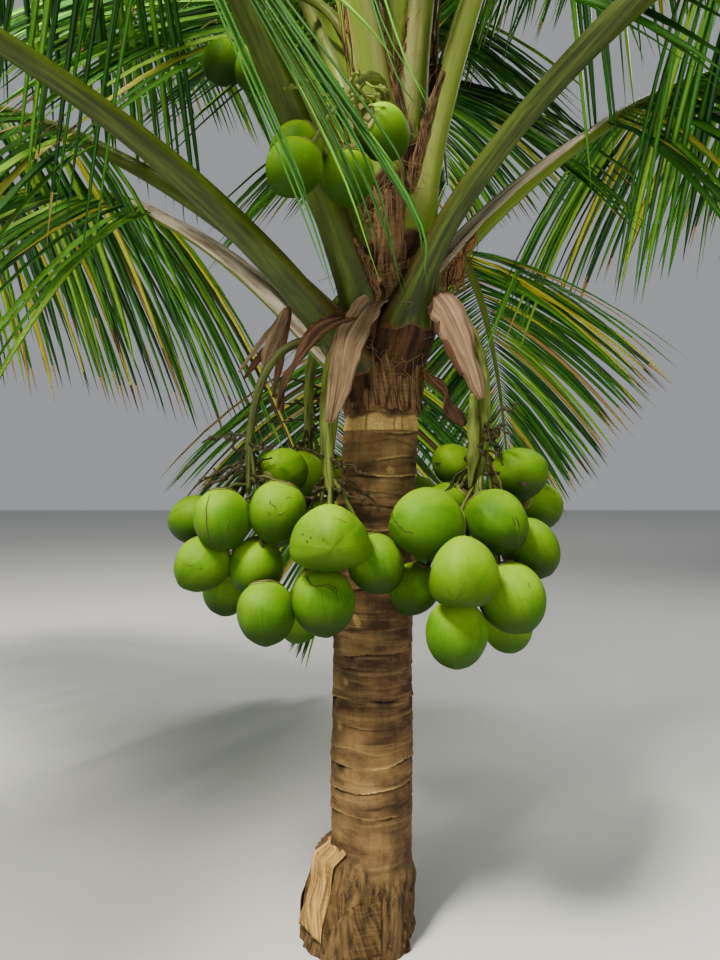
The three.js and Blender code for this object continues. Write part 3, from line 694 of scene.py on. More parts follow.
# Torn sheath left on the edges of a petiole: frond, side, width, where it begins and ends along the rib, how
# much of it hangs down and its material, which are left out where it flares and is woven
SHEATH_EDGES = [
    (18, 1, 0.05, 0.06, 0.62),
    (18, -1, 0.034, 0.06, 0.5),
    (15, -1, 0.045, 0.05, 0.5),
    (15, 1, 0.034, 0.05, 0.34),
    (9, -1, 0.035, 0.04, 0.22),
    (21, 1, 0.04, 0.06, 0.6),
    (13, -1, 0.04, 0.05, 0.3),
    (17, 1, 0.045, 0.06, 0.5),
    (16, -1, 0.045, 0.06, 0.5),
    (10, 1, 0.035, 0.05, 0.3),
    (22, -1, 0.04, 0.06, 0.6),
    (14, 1, 0.04, 0.1, 0.44),
    (8, 1, 0.185, 0.14, 0.32, 0.85, 6),
    (8, 1, 0.13, 0.1, 0.19, 0.8, 6),
]
EDGE_STEPS, EDGE_COLUMNS = 60, 9
EDGE_FIBRES = 26
FIBRE_STARTS = 44  # first steps of an edge, where its fibres may begin
FIBRE_LENGTHS = (8, 34)
SHEET_DEPTH = 0.0025  # how thick a sheet of sheath or a tongue of a spathe is


def add_wrap(piece, count, row, torn, paint):
    """A ragged sheet that wraps part of the stem."""
    facing, spread, low, high, near, far = row
    turn = np.radians(facing + spread * np.linspace(-0.5, 0.5, WRAP_COLUMNS))[None]
    share = np.linspace(0, 1, WRAP_ROWS)[:, None]
    ragged = torn * (swell(turn, 0, 310 + count, 26, 1, 24) + swell(turn, 0, 330 + count, 6, 1, 8))
    height = low + 0.4 * torn * swell(turn, 0, 350 + count, 20, 1, 12) + (high - low + ragged) * share
    reach = stem_at(height)[1] + near + (far - near) * share
    reach = reach + 0.003 * swell(turn, height, 370 + count, 30, 60, 30)
    reach = reach + 0.006 * swell(turn, height, 390 + count, 8, 18, 12) * share
    top = round_stem(height, reach, turn)
    normal = stacked(np.cos(turn), np.sin(turn), 0 * height)
    place = stacked(turn * 0.12 + share * 0.04, height, 0)
    add_sheet(piece, top[:, ::-1], normal[:, ::-1], SHEET_DEPTH, paint, place[:, ::-1])
    return top, normal


def make_sheaths(material):
    """Ragged sheets of woven fibre that wrap the stem between the leaf bases, with loose strands."""
    piece = Piece("sheath_fibre")
    for count, row in enumerate(SHEATHS):
        top, normal = add_wrap(piece, count, row, 0.03, 0)
        add_loose_fibre(piece, top, normal, np.random.default_rng(300 + count))
    for count, row in enumerate(SHEATH_EDGES):
        add_torn_edge(piece, count, *row)
    for count, row in enumerate(FOOT_SHEATHS):
        add_wrap(piece, 40 + count, row, 0.01, 4 + (count > 0))
    piece.make([
        material,
        stalk_material("loose_fibre", (0.34, 0.25, 0.15), (0.52, 0.41, 0.27)),
        stalk_material("dark_fibre", (0.1, 0.07, 0.045), (0.22, 0.15, 0.09)),
        stalk_material("rusty_fibre", (0.32, 0.19, 0.1), (0.56, 0.37, 0.21)),
        fibre_material("foot_fibre_pale", (0.38, 0.27, 0.15), (0.8, 0.64, 0.38), 0.12),
        fibre_material("foot_fibre", (0.14, 0.1, 0.06), (0.42, 0.32, 0.19)),
        fibre_material("old_sheath", (0.36, 0.22, 0.13), (0.7, 0.5, 0.33), 0.15),
    ])


def add_torn_edge(piece, count, number, side, width, start, end, hang=0.0, paint=0):
    """A torn strip of sheath on the edge of a petiole, which flares out or hangs, with fibres along it."""
    frond = FRONDS[number - 1]
    share = np.linspace(0, 1, EDGE_STEPS)
    along = start + (end - start) * share
    middle, _, across, lift = on_line(frond_line(frond), along)
    half = np.interp(along, RIB[:, 0], RIB[:, 1]) * frond.wide / 2
    edge = middle + across * (side * half * 0.92)[:, None] + lift * 0.01
    away = across * side * (1 - hang) - UP * hang
    taper = (1 - 0.8 * share**2) * ease(share, -0.05, 0.12)
    reach = width * taper * (0.6 + 0.25 * swell(share * 9, 0, 410 + count, 4, 1, 8))
    reach = np.maximum(reach, 0.004)[:, None, None]
    out = np.linspace(0, 1, EDGE_COLUMNS)[:, None]
    wavy = 0.004 * swell(share[:, None, None] * 14, out * 3, 430 + count, 3, 4, 8)
    top = edge[:, None] + away[:, None] * out * reach
    top = top + lift[:, None] * (0.5 * (1 - hang) * reach * out**2 + wavy)
    normal = np.broadcast_to(unit(np.cross(away, np.gradient(middle, axis=0)))[:, None], top.shape)
    place = stacked(out[:, 0] * width + number, share[:, None] * 0.6, 0)
    add_sheet(piece, top, normal, SHEET_DEPTH, paint, place)
    add_edge_fibres(piece, np.random.default_rng(340 + count), edge, away, lift, width * taper)


def add_edge_fibres(piece, rng, edge, away, lift, width):
    """Fibres that run along a torn edge, each for some of its steps."""
    for _ in range(EDGE_FIBRES):
        first = rng.integers(0, FIBRE_STARTS)
        last = min(first + rng.integers(*FIBRE_LENGTHS), EDGE_STEPS)
        offset = rng.uniform(-0.15, 0.9) + np.linspace(0, rng.normal(0.1, 0.3), last - first)
        offset = offset * width[first:last]
        rise = rng.uniform(-0.004, 0.01) + 0.003 * np.sin(np.arange(last - first) * rng.uniform(0.1, 0.5))
        points = edge[first:last] + away[first:last] * offset[:, None] + lift[first:last] * rise[:, None]
        halves = rng.uniform(0.0008, 0.0022) * np.linspace(1, 0.5, last - first)
        add_rod(piece, points, halves, 4, rng.choice((1, 2, 2, 3)), rng.uniform(0, 9))


def add_loose_fibre(piece, top, normal, rng):
    """Bent strands that stand off the upper half of a sheet."""
    rows, columns = top.shape[:2]
    for _ in range(SHEATH_STRANDS):
        row, column = rng.integers(rows // 2, rows), rng.integers(1, columns - 1)
        outward = normal[row, column]
        start = top[row, column] + outward * 0.001
        sideways = unit(np.cross(outward, UP)) * rng.normal(0, 0.6)
        way = unit(UP * rng.normal(0.3, 0.8) + sideways + outward * rng.uniform(0.1, 0.5))
        points = [start]
        for i in range(1, 5):
            reach = 0.022 * i * rng.uniform(0.6, 1.4)
            points.append(start + way * reach - UP * 0.0016 * i**2 + rng.normal(0, 0.003, 3))
        add_rod(piece, curve_through(points, 9), np.linspace(0.0013, 0.0006, 9), 4, 1, rng.uniform(0, 9))


# Fronds, by number

# Petioles with a pale bloom: how strong it is on their left and their right, seen from outside the crown
ASHY = {
    14: (0.3, 0.0), 15: (0.9, 0.4), 18: (1.0, 0.8), 19: (0.7, 0.9), 20: (0.9, 0.3), 21: (0.6, 0.6),
    23: (0.6, 0.8),
}
WORN = {1: (-0.9, -0.4), 8: (-0.45, 0.05)}  # petioles worn pale above, and how far down their sides
PAINTED_LIGHT_ABOVE = {4: 0.9}  # how strongly a rib's upper side takes painted light, in light green
BROAD_FEET = {5: (1.15, 0.024), 14: (1.0, 0.008)}  # breadth of a foot, and how far off the stem its edges are
FOOT_REACH = 0.14
BARE = {4: (-1, 0.14), 5: (1, 0.36), 9: (-1, 0.12)}  # side with no leaflets up to a share of the way along
NARROW = {4: 0.7, 5: 0.6, 9: 0.65}  # share of the usual width of leaflets


# The rib's section in shares of its depth: how high its edges are over its middle line, how deeply a petiole
# is channelled below them, how high the rest is crested above them, and how far the keel is under them
EDGE_HEIGHT, CHANNEL, CREST, KEEL = 0.4, 0.3, 0.22, 1.06
CLASP_REACH = 0.16  # how far along it a rib is curved round the stem


def rib_section(frond, number, along, turn):
    """How far sideways and upwards the rib's surface is, along it and round it."""
    scaled = along / (frond.length / FULL_FROND)
    above = np.maximum(along, 0)
    broad, off = BROAD_FEET.get(number, (1.0, 0.0))
    girth = frond.wide + (broad - frond.wide) * np.exp(-((above / FOOT_REACH) ** 2))
    width = np.interp(scaled, RIB[:, 0], RIB[:, 1]) * girth
    depth = np.interp(scaled, RIB[:, 0], RIB[:, 2]) * frond.wide
    sine = np.sin(turn)
    petiole = 1 - ease(scaled, PETIOLE * 0.8, PETIOLE * 1.1)
    top = EDGE_HEIGHT - (CHANNEL * petiole - CREST * (1 - petiole)) * np.abs(sine) ** 1.5
    keel = EDGE_HEIGHT - KEEL * np.abs(sine) ** 0.8
    sideways = width / 2 * np.cos(turn)
    upward = depth * np.where(sine > 0, top, keel) * (1 - ease(-along, 0.0, -TAIL[0]) * 0.9)
    radius = stem_at(frond.foot)[1]
    clasped = radius - np.sqrt(np.maximum(radius**2 - np.minimum(sideways, radius) ** 2, 0)) - off
    return sideways, upward + np.exp(-((above / CLASP_REACH) ** 2)) * clasped


def rib_rings(frond, line, number):
    """The rib's surface: a channelled top over a rounded keel, its foot curved round the stem."""
    along = frond.length * (np.linspace(0, 1, RIB_STEPS) ** 1.25)
    middle, tangent, across, lift = on_line(line, along)
    middle, lift = with_tail(frond, middle, lift)
    across = np.concatenate([np.repeat(across[:1], len(TAIL), axis=0), across])
    along = np.concatenate([TAIL, along])[:, None]
    turn = turns(RIB_SIDES)
    sideways, upward = rib_section(frond, number, along, turn)
    uneven = 1 + 0.025 * swell(turn, along * 3, frond.to, 3, 6)
    points = middle[:, None] + across[:, None] * (sideways * uneven)[..., None]
    points = points + lift[:, None] * upward[..., None]
    ragged = 0.01 * swell(turn, 0, 450 + frond.to, 9, 1) * np.exp(-((along / 0.03) ** 2))
    place = stacked(turn / TAU * 0.25 + frond.to, along, 0)
    return points + tangent[:1, None] * ragged[..., None], place, rib_marks(frond.age, number, along, turn)


def rib_marks(age, number, along, turn):
    """How strongly each look shows on the rib, along it and round it."""
    cosine, sine = np.cos(turn), np.sin(turn)
    margin = ease(np.abs(cosine), 0.8, 1.0) * np.exp(-np.maximum(along, 0) / (0.25 + 0.3 * age))
    petiole = 1 - ease(along, 0.9, 1.5)
    fresh_and_painted_light = 1 - ease(age, 0.2, 0.5) * (1 - 0.7 * ease(age, 0.82, 0.84))
    left, right = ASHY.get(number, (0.35, 0.35) if age < 0.45 else (0.0, 0.0))
    ashy = left * ease(cosine, 0.05, 0.6) + right * ease(-cosine, 0.3, 0.75)
    marks = {
        "edge": np.clip(1 - ease(along, 0.0, 0.012) + margin, 0, 1),
        # The rib's upper side, which takes the painted light over the painted shade below
        "over": ease(sine, -0.2, 0.7),
        "worn": ease(sine, *WORN.get(number, (2, 3))) * petiole,
        # Painted shade on the ribs of fronds aged 0.7 to 0.84
        "deep": ease(age, 0.7, 0.75) * (1 - ease(age, 0.78, 0.84)),
        # Young fronds' fresh green, and painted light on the upper side of the listed ribs
        "fresh_and_painted_light": np.maximum(fresh_and_painted_light, PAINTED_LIGHT_ABOVE.get(number, 0) * ease(sine, -0.3, 0.4)),
        "ashy": ashy * ease(-sine, -0.4, 0.2) * petiole * ease(along, 0.0, 0.1),
    }
    return {mark: np.broadcast_to(values, margin.shape) for mark, values in marks.items()}


def with_tail(frond, middle, lift):
    """The rib's line with the rings below its foot, which sink into the stem."""
    height = frond.foot + TAIL
    lean, radius = stem_at(height)
    low = stacked(lean, 0, height) + level(frond.to) * (radius + 0.2 * TAIL)[:, None]
    share = (TAIL / TAIL[0])[:, None]
    leant = unit(lift[0] * (1 - share) - level(frond.to) * share)
    return np.concatenate([low, middle]), np.concatenate([leant, lift])


# How unlike the leaflets are: in place along the rib, in degrees, in length, in lift and in hang
PLACE_STRAY = 0.006
ANGLE_STRAY = 2.2
LENGTHS = (0.9, 1.02)
LIFT_STRAY = 0.05
HANGS = (0.88, 1.1)
HANG_FALL = 0.45  # how much less the last ones hang than the first


def leaflet_starts(frond, line, rng):
    """Each leaflet's side, share of the way along, root, direction, length, and the rib's direction there."""
    petiole = PETIOLE * frond.length / FULL_FROND
    span = frond.length - petiole
    amount = 2 * LEAFLETS
    side = np.repeat((1.0, -1.0), LEAFLETS)
    reached = np.tile((np.arange(LEAFLETS) + 0.5) / LEAFLETS, 2) * span
    reached = reached + rng.uniform(-PLACE_STRAY, PLACE_STRAY, amount)
    share = np.clip((reached / (span / LEAF_PAIRS) - 0.4) / (LEAF_PAIRS - 1), 0, 1.03)
    middle, tangent, across, lift = on_line(line, petiole + reached)
    angle = LEAF_ANGLE[0] + (LEAF_ANGLE[1] - LEAF_ANGLE[0]) * share**LEAF_TURN
    angle = np.radians(angle + rng.normal(0, ANGLE_STRAY, amount))
    size = LEAF_LENGTH * frond.long * frond.length / FULL_FROND
    size = size * np.sin(np.pi * (LEAF_SWELL[0] + LEAF_SWELL[1] * share)) ** 0.8
    size = size * rng.uniform(*LENGTHS, amount)
    away = tangent * np.cos(angle)[:, None] + across * (side * np.sin(angle))[:, None]
    raised = (LEAF_LIFT + rng.normal(0, LIFT_STRAY, amount)) * np.sin(angle)
    root = middle + across * (side * np.interp(petiole + reached, RIB[:, 0], RIB[:, 1]) * 0.42)[:, None]
    return side, share, root, unit(away + lift * raised[:, None]), size, tangent


def leaflet_lines(frond, line, rng):
    """Each leaflet's middle line, two directions square to it, its side and its share of the way along."""
    side, share, root, away, size, tangent = leaflet_starts(frond, line, rng)
    sag = frond.hang * (1 - HANG_FALL * share) * rng.uniform(*HANGS, len(share))

    def hung(parts):
        drop = sag[:, None] * (LEAF_DROP + (1 - LEAF_DROP) * parts)
        return unit(away[:, None] - UP * drop[..., None])

    shares = np.linspace(0, 1, LEAFLET_STEPS + 1)
    steps = hung((shares[1:] + shares[:-1]) / 2) * (size[:, None, None] / LEAFLET_STEPS)
    reached = np.concatenate([np.zeros((len(share), 1, 3)), np.cumsum(steps, axis=1)], axis=1)
    heading = hung(shares)
    flat = unit(square_to(heading, square_to(away, tangent)[:, None]))
    return root[:, None] + reached, flat, np.cross(heading, flat) * -side[:, None, None], side, share


def leaflet_rings(frond, line, number, rng):
    """Every leaflet as points (leaflet, ring, corner) of a closed folded blade that narrows to a tip."""
    places, flat, normal, side, share = leaflet_lines(frond, line, rng)
    amount = len(share)
    shares = np.linspace(0, 1, LEAFLET_STEPS + 1)
    roll = rng.normal(0, 0.25, amount)[:, None] + rng.normal(0, 0.5, amount)[:, None] * shares**1.5
    flat, normal = turned(flat, normal, roll), turned(normal, -flat, roll)
    swollen = (0.34 + 0.66 * ease(shares, 0, 0.2)) * np.clip(1 - shares**2.4, 0, 1) ** 0.75 + 0.012
    broad = LEAFLET_WIDTH / 2 * (1 - 0.45 * share) * (0.72 + 0.28 * ease(share, 0, 0.12))
    broad = broad * NARROW.get(number, 1)
    half = (broad * rng.uniform(0.85, 1.1, amount))[:, None] * swollen
    fold = np.radians(np.interp(shares, (0, 0.3, 1), (58, 34, 20)))
    sideways = flat * (half * np.cos(fold))[..., None]
    downward = normal * (half * np.sin(fold))[..., None]
    keel = normal * (0.0016 * (1 - 0.7 * shares))[:, None]
    corners = np.stack([places - sideways - downward, places, places + sideways - downward, places - keel], 2)
    bare_side, until = BARE.get(number, (0, 0))
    kept = (side != bare_side) | (share > until)
    return corners[kept], side[kept] > 0


# The leaflets that hang across the upper bunch, by frond: where along Y their middles and tips are, then
# where each leaves its rib, and how far to the right and how high its line is halfway and at its tip
CROSSING = {
    9: (-0.55, -0.51, [
        (1.19, (-0.056, 2.052), (0.07, 1.736)), (1.2, (-0.038, 2.056), (0.077, 1.791)),
        (1.21, (-0.021, 2.056), (0.129, 1.718)), (1.22, (0.009, 2.052), (0.121, 1.705)),
        (1.19, (0.022, 2.052), (0.123, 1.912)), (1.2, (0.039, 2.056), (0.105, 1.987)),
        (1.23, (0.052, 2.082), (0.132, 1.947)), (1.22, (-0.006, 2.116), (0.099, 1.993)),
        (1.24, (-0.064, 2.095), (0.017, 1.925)), (1.25, (-0.017, 2.077), (0.059, 1.96)),
        (1.26, (-0.043, 2.03), (0.039, 1.864)), (1.27, (0.005, 2.009), (0.11, 1.758)),
        (1.28, (0.103, 1.953), (0.173, 1.734)), (1.3, (0.086, 1.966), (0.169, 1.78)),
        (1.4, (-0.154, 2.052), (-0.049, 1.813)), (1.36, (-0.146, 2.056), (-0.086, 1.91)),
        (1.44, (-0.165, 2.041), (-0.038, 1.723)), (1.48, (-0.139, 2.009), (-0.022, 1.683)),
        (1.38, (-0.172, 2.116), (-0.106, 1.96)), (1.19, (-0.015, 2.331), (0.105, 2.222)),
    ]),
    18: (-0.41, -0.41, [
        (1.13, (0.059, 2.421), (0.194, 2.176)), (1.15, (0.091, 2.398), (0.189, 2.159)),
        (1.18, (0.073, 2.351), (0.175, 2.145)),
    ]),
}
CROSSING_WIDTH = 0.0075
CROSSING_ODDS = (0.52, 0.28, 0.12, 0.05, 0.03, 0.0, 0.0, 0.0)


def crossing_leaflets(line, number):
    """The same blades as the others, each bowed from the rib to a place of its own."""
    rng = np.random.default_rng(77 + number)
    halfway, end, rows = CROSSING[number]
    blades = []
    for along, bow, tip in rows:
        root = on_line(line, np.array([along]))[0][0]
        points = curve_through([root, (bow[0], halfway, bow[1]), (tip[0], end, tip[1])], LEAFLET_STEPS + 5)
        across, lift = frames_along(points)
        share = np.linspace(0, 1, len(points))
        half = (CROSSING_WIDTH * rng.uniform(0.7, 1.3) / 2 * np.clip(1.02 - share**3, 0, 1))[:, None]
        turn = math.pi / 2 + rng.uniform(-0.7, 0.7)
        flat, low = turned(across, lift, turn), turned(lift, -across, turn)
        sunk = points - low * half * 0.5
        blades.append(np.stack([sunk - flat * half, points, sunk + flat * half, points - low * 0.0012], 1))
    return np.array(blades)


# Leaflet colours: above and below, the paler, yellower ones below being painted light that shines through the
# blade, from deep green through light green to yellow, then dry tips
LEAF_TONES = [
    ("deep", (0.08, 0.26, 0.03), (0.16, 0.34, 0.08)),
    ("green", (0.13, 0.36, 0.04), (0.22, 0.45, 0.11)),
    ("mid", (0.22, 0.48, 0.06), (0.32, 0.57, 0.14)),
    ("light", (0.35, 0.6, 0.09), (0.44, 0.67, 0.18)),
    ("lime", (0.53, 0.73, 0.13), (0.58, 0.76, 0.23)),
    ("yellow", (0.78, 0.77, 0.18), (0.8, 0.79, 0.32)),
    ("straw", (0.7, 0.57, 0.3), (0.68, 0.57, 0.35)),
    ("brown", (0.38, 0.26, 0.14), (0.36, 0.26, 0.16)),
]
STRAW, BROWN = 6, 7
DRY_TIPS = (0.06, 0.3)  # share of a young frond's leaflets that end dry, and how much more on the oldest
STRAW_TIPS = 0.6  # share of dry tips that are straw, not brown

# How often each of these falls on a young, a grown and an old frond
TONE_ODDS = np.array((
    (0.02, 0.08, 0.26, 0.37, 0.24, 0.03, 0.0, 0.0),
    (0.22, 0.29, 0.24, 0.15, 0.08, 0.01, 0.01, 0.0),
    (0.16, 0.22, 0.21, 0.17, 0.12, 0.07, 0.04, 0.01),
))


def tone_odds(age):
    young, grown, old = TONE_ODDS
    share = min(age / 0.5, 1)
    later = max(age / 0.5 - 1, 0)
    odds = young * (1 - share) + share * (grown * (1 - later) + old * later)
    return odds / odds.sum()


def deal_leaflets(piece, blades, flipped, rng, age, odds):
    """Adds the leaflets, each with a tone of its own; some end in a dry tip."""
    amount, rings = blades.shape[:2]
    tone = rng.choice(len(LEAF_TONES), amount, p=odds)
    dry = rng.random(amount) < DRY_TIPS[0] + DRY_TIPS[1] * age
    whole = np.vstack(closed_faces(rings, 4))
    below = np.array((0, 0, 1, 1))  # the two faces over the fold, then the two under it
    for i in range(amount):
        shown = np.full(rings - 1, tone[i])
        if dry[i]:
            shown[-1] = STRAW if rng.random() < STRAW_TIPS else BROWN
        paint = [*(shown[:, None] * 2 + below).ravel(), shown[0] * 2, shown[-1] * 2]
        piece.add(blades[i], [whole[:, ::-1] if flipped[i] else whole], [paint])


def make_fronds(layer, first, last, ribs, leaves):
    """The ribs of some fronds as one piece, and their leaflets as another."""
    rib_piece = Piece(f"ribs_{layer}", ("edge", "over", "worn", "deep", "fresh_and_painted_light", "ashy"))
    leaf_piece = Piece(f"leaflets_{layer}")
    nodes = []
    for number in range(first, last + 1):
        frond = FRONDS[number - 1]
        line = frond_line(frond)
        points, place, marks = rib_rings(frond, line, number)
        below = np.repeat(np.arange(len(points) - 1) < len(TAIL), RIB_SIDES).astype(int)
        rib_piece.add(points, closed_faces(len(points), RIB_SIDES), [below, 1, 0], place, **marks)
        rng = np.random.default_rng(999 + number)
        blades, flipped = leaflet_rings(frond, line, number, rng)
        deal_leaflets(leaf_piece, blades, flipped, rng, frond.age, tone_odds(frond.age))
        if number in CROSSING:
            blades = crossing_leaflets(line, number)
            deal_leaflets(leaf_piece, blades, np.zeros(len(blades)), rng, 0.5, CROSSING_ODDS)
        name = f"frond_{number:02d}"
        nodes += [name, f"{name}_end"] if number <= PARTED else [name]
    rib_piece.make(ribs, nodes)
    leaf_piece.make(leaves, nodes)


def leaf_materials():
    made = []
    for name, above, below in LEAF_TONES:
        made.append(plain(f"leaf_{name}_above", tones(above), 0.42, 0.32))
        # Painted light: the colours below are paler, as if lit through the leaflet
        made.append(plain(f"leaf_{name}_below", tones(below), 0.55, 0.3))
    return made


def make_spear(material):
    """The closed youngest leaf: a pleated rod that swells and then narrows to a point."""
    share = np.linspace(0, 1, SPEAR.rings)[:, None]
    turn = turns(SPEAR.pleats * 3)
    middle = stacked(stem_at(SPEAR.foot)[0] + SPEAR.lean * share, 0, SPEAR.foot + SPEAR.length * share)
    radius = SPEAR.radius * np.interp(share, (0, 0.3, 1), (0.55, 1, 0.1))
    ridge = 1 + 0.13 * np.cos(SPEAR.pleats * turn)
    ring = turned(np.array((1.0, 0, 0)), np.array((0, -1.0, 0)), turn)
    piece = Piece("spear_leaf_closed")
    piece.add(middle + ring * (radius * ridge)[..., None], closed_faces(len(share), len(turn)), 0,
              stacked(turn * 0.04, share * 2, 0))
    piece.make([material], ["spear_leaf"])


# Bunches

NUT_SIDES = 48
NUT_RINGS = 44
STALK_RINGS = 40
SPENT_RINGS = 29  # rings of a stalk before its bare strands begin
STRAND_RINGS = 13
STRAND_SHARE = 0.22  # share of a stalk, at its end, that the strands of nuts leave from
STRAND_HALVES = (0.0045, 0.0075)  # half thickness of such a strand at the stalk and at its nut
BRACT_REACH = 0.58  # how far round the nut, in radians, a bract reaches from its stem end
BRACT_DEPTH = 0.0022

# Near nuts by bunch and place in it: where the free end points, how strong the three ridges are, and how
# broad it is across
NUT_POSES = {
    ("bunch_left", 0): ((0.05, -0.38, -0.92), 0.045, 1.0),
    ("bunch_left", 1): ((-0.2, -0.25, -0.95), 0.03, 1.0),
    ("bunch_left", 4): ((-0.6, -0.55, -0.58), 0.08, 1.0),
    ("bunch_left", 5): ((-0.1, -0.6, -0.79), 0.045, 1.0),
    ("bunch_left", 7): ((0.05, -0.35, -0.94), 0.05, 1.0),
    ("bunch_left_inner", 0): ((0.15, -0.35, -0.92), 0.045, 1.0),
    ("bunch_left_inner", 1): ((0.1, -0.96, -0.1), 0.125, 1.1),
    ("bunch_left_inner", 2): ((0.35, -0.45, -0.82), 0.055, 1.0),
    ("bunch_right", 0): ((-0.87, -0.47, 0.05), 0.085, 1.0),
    ("bunch_right", 1): ((0.45, -0.66, -0.6), 0.045, 1.0),
    ("bunch_right", 2): ((-0.3, -0.8, -0.52), 0.16, 1.0),
    ("bunch_right", 3): ((0.38, -0.4, -0.83), 0.05, 1.0),
    ("bunch_right", 4): ((-0.05, -0.45, -0.89), 0.03, 1.0),
}


def nut_shape(nut, pose, hub, seed):
    """A nut's middle, size, directions and ridges. Its free end points away from the hub, or as posed."""
    middle = np.array(nut[:3])
    axis, ridges, broad = pose or (middle - hub, 0.022 + 0.03 * chance(seed, 6), 1.0)
    axis = unit(np.asarray(axis))
    across = unit(np.cross(axis, (1.0, 0, 0) if abs(axis[2]) > 0.9 else UP))
    phase = math.pi / 2 if pose else TAU * chance(seed, 1)
    return SimpleNamespace(middle=middle, half=nut[3] / 2, axis=axis, across=across * broad,
                           lift=np.cross(across, axis) / broad, ridges=ridges, phase=phase, seed=seed)


# In shares of half a nut's width: the point of its free end, the dip round its stem, and the hollows
# between its ridges beside that point
NIPPLE, DIMPLE, HOLLOW = 0.035, 0.05, 0.035


def nut_surface(nut, turn, angle):
    """Points of the husk at turns round it and angles from its stem end, with their places and marks."""
    free = ease(angle, 1.2, 2.9)
    height = -np.cos(angle)
    around = np.cos(3 * (turn - nut.phase))
    wave = around + 0.25 * np.cos(6 * (turn - nut.phase))
    ridge = 1 + nut.ridges * wave * np.sin(angle) ** (1.5 - 0.8 * free) * (0.45 + 0.75 * free)
    ridge = ridge + 0.01 * swell(turn, angle * 1.5, nut.seed, 3, 3)
    taper = 1 - (NUT_TAPER * 0.6 + 0.05 * chance(nut.seed, 7)) * height
    girth = nut.half * np.sin(angle) ** 0.95 * taper * ridge
    nipple = NIPPLE * np.exp(-(((np.pi - angle) / 0.15) ** 2))
    dimple = DIMPLE * np.exp(-((angle / 0.35) ** 2))
    hollow = HOLLOW * free * np.clip(-around, 0, 1) * np.exp(-(((np.pi - angle - 0.35) / 0.3) ** 2))
    reach = nut.half * (height * NUT_LENGTH + nipple + dimple - hollow)
    points = nut.middle + nut.axis * reach[..., None] + turned(nut.across, nut.lift, turn) * girth[..., None]
    crown = np.exp(-((angle / 0.9) ** 2)) * 0.8 + 0.18 * around * np.sin(angle)
    upward = unit(points - nut.middle)[..., 2]
    # Painted light: paler on the upper side of the husk; painted shade: darker on its underside
    crown = np.clip(crown + 0.35 * ease(upward, 0.2, 0.9), 0, 1)
    marks = {"crown": crown, "shade": ease(-upward, -0.7, 0.8)}
    return points, stacked(turn / TAU * 0.45 + nut.seed, angle * 0.08, 0), marks


# Husks of three greens: most of it, its lights, which are also its painted light on the upper side, its
# deeps, and the painted shade of its underside
NUT_TONES = {
    "green": ((0.38, 0.57, 0.01), (0.58, 0.74, 0.03), (0.26, 0.45, 0.01), (0.12, 0.23, 0.0)),
    "lime": ((0.44, 0.62, 0.01), (0.63, 0.77, 0.04), (0.32, 0.5, 0.01), (0.13, 0.25, 0.0)),
    "deep": ((0.32, 0.51, 0.01), (0.5, 0.67, 0.03), (0.2, 0.37, 0.0), (0.09, 0.18, 0.0)),
}

# Marks on the husks of near nuts as the camera sees them: bunch, nut, thickness, and a line of places to the
# right of and above its middle, in halves of its width
NUT_MARKS = [
    ("bunch_left", 0, 0.0017, [(-0.4, 0.8), (-0.5, 0.38), (-0.47, -0.12), (-0.4, -0.6), (-0.26, -0.88)]),
    ("bunch_left", 0, 0.0008, [(0.28, 0.15), (0.22, -0.2), (0.1, -0.7)]),
    ("bunch_left", 1, 0.0012, [(-0.2, 0.4), (-0.24, 0.3), (-0.1, 0.22), (-0.02, 0.1)]),
    ("bunch_left", 1, 0.0009, [(-0.31, 0.02), (-0.22, -0.06)]),
    ("bunch_left", 1, 0.0008, [(0.03, -0.07), (0.16, -0.06), (0.3, 0.06)]),
    ("bunch_left", 1, 0.0008, [(0.26, 0.38), (0.36, 0.46), (0.46, 0.44)]),
    ("bunch_left", 4, 0.001, [(-0.52, 0.13), (-0.36, 0.04), (-0.21, 0.05)]),
    ("bunch_left", 4, 0.0009, [(-0.06, -0.07), (0.09, -0.12)]),
    ("bunch_left_inner", 0, 0.0016, [(-0.46, 0.76), (-0.44, 0.62), (-0.36, 0.52)]),
    ("bunch_left_inner", 0, 0.0014, [(-0.42, 0.5), (-0.09, 0.46), (0.19, 0.5), (0.4, 0.38), (0.48, 0.02)]),
    ("bunch_left_inner", 0, 0.0012, [(0.1, 0.44), (0.3, 0.36), (0.36, 0.24)]),
    ("bunch_left_inner", 1, 0.0016, [(-0.76, 0.24), (-0.72, 0.22)]),
    ("bunch_left_inner", 1, 0.0016, [(-0.52, 0.14), (-0.49, 0.11)]),
    ("bunch_left_inner", 1, 0.0015, [(-0.61, 0.02), (-0.59, -0.02)]),
    ("bunch_left_inner", 1, 0.0012, [(-0.18, 0.08), (-0.16, 0.05)]),
    ("bunch_left_inner", 1, 0.0007, [(0.05, 0.62), (0.25, 0.6), (0.44, 0.57)]),
    ("bunch_right", 0, 0.0017, [(-0.86, 0.3), (-0.84, 0.18), (-0.7, -0.02), (-0.56, -0.16), (-0.3, -0.24)]),
    ("bunch_right", 1, 0.0015, [(0.45, 0.23), (0.48, 0.1), (0.51, -0.02)]),
    ("bunch_right", 1, 0.0015, [(0.55, 0.22), (0.6, 0.08), (0.63, -0.06)]),
    ("bunch_right", 1, 0.0011, [(0.62, -0.42), (0.74, -0.36)]),
    ("bunch_right", 3, 0.001, [(0.44, 0.44), (0.5, 0.3)]),
]
MARK_RINGS = 14


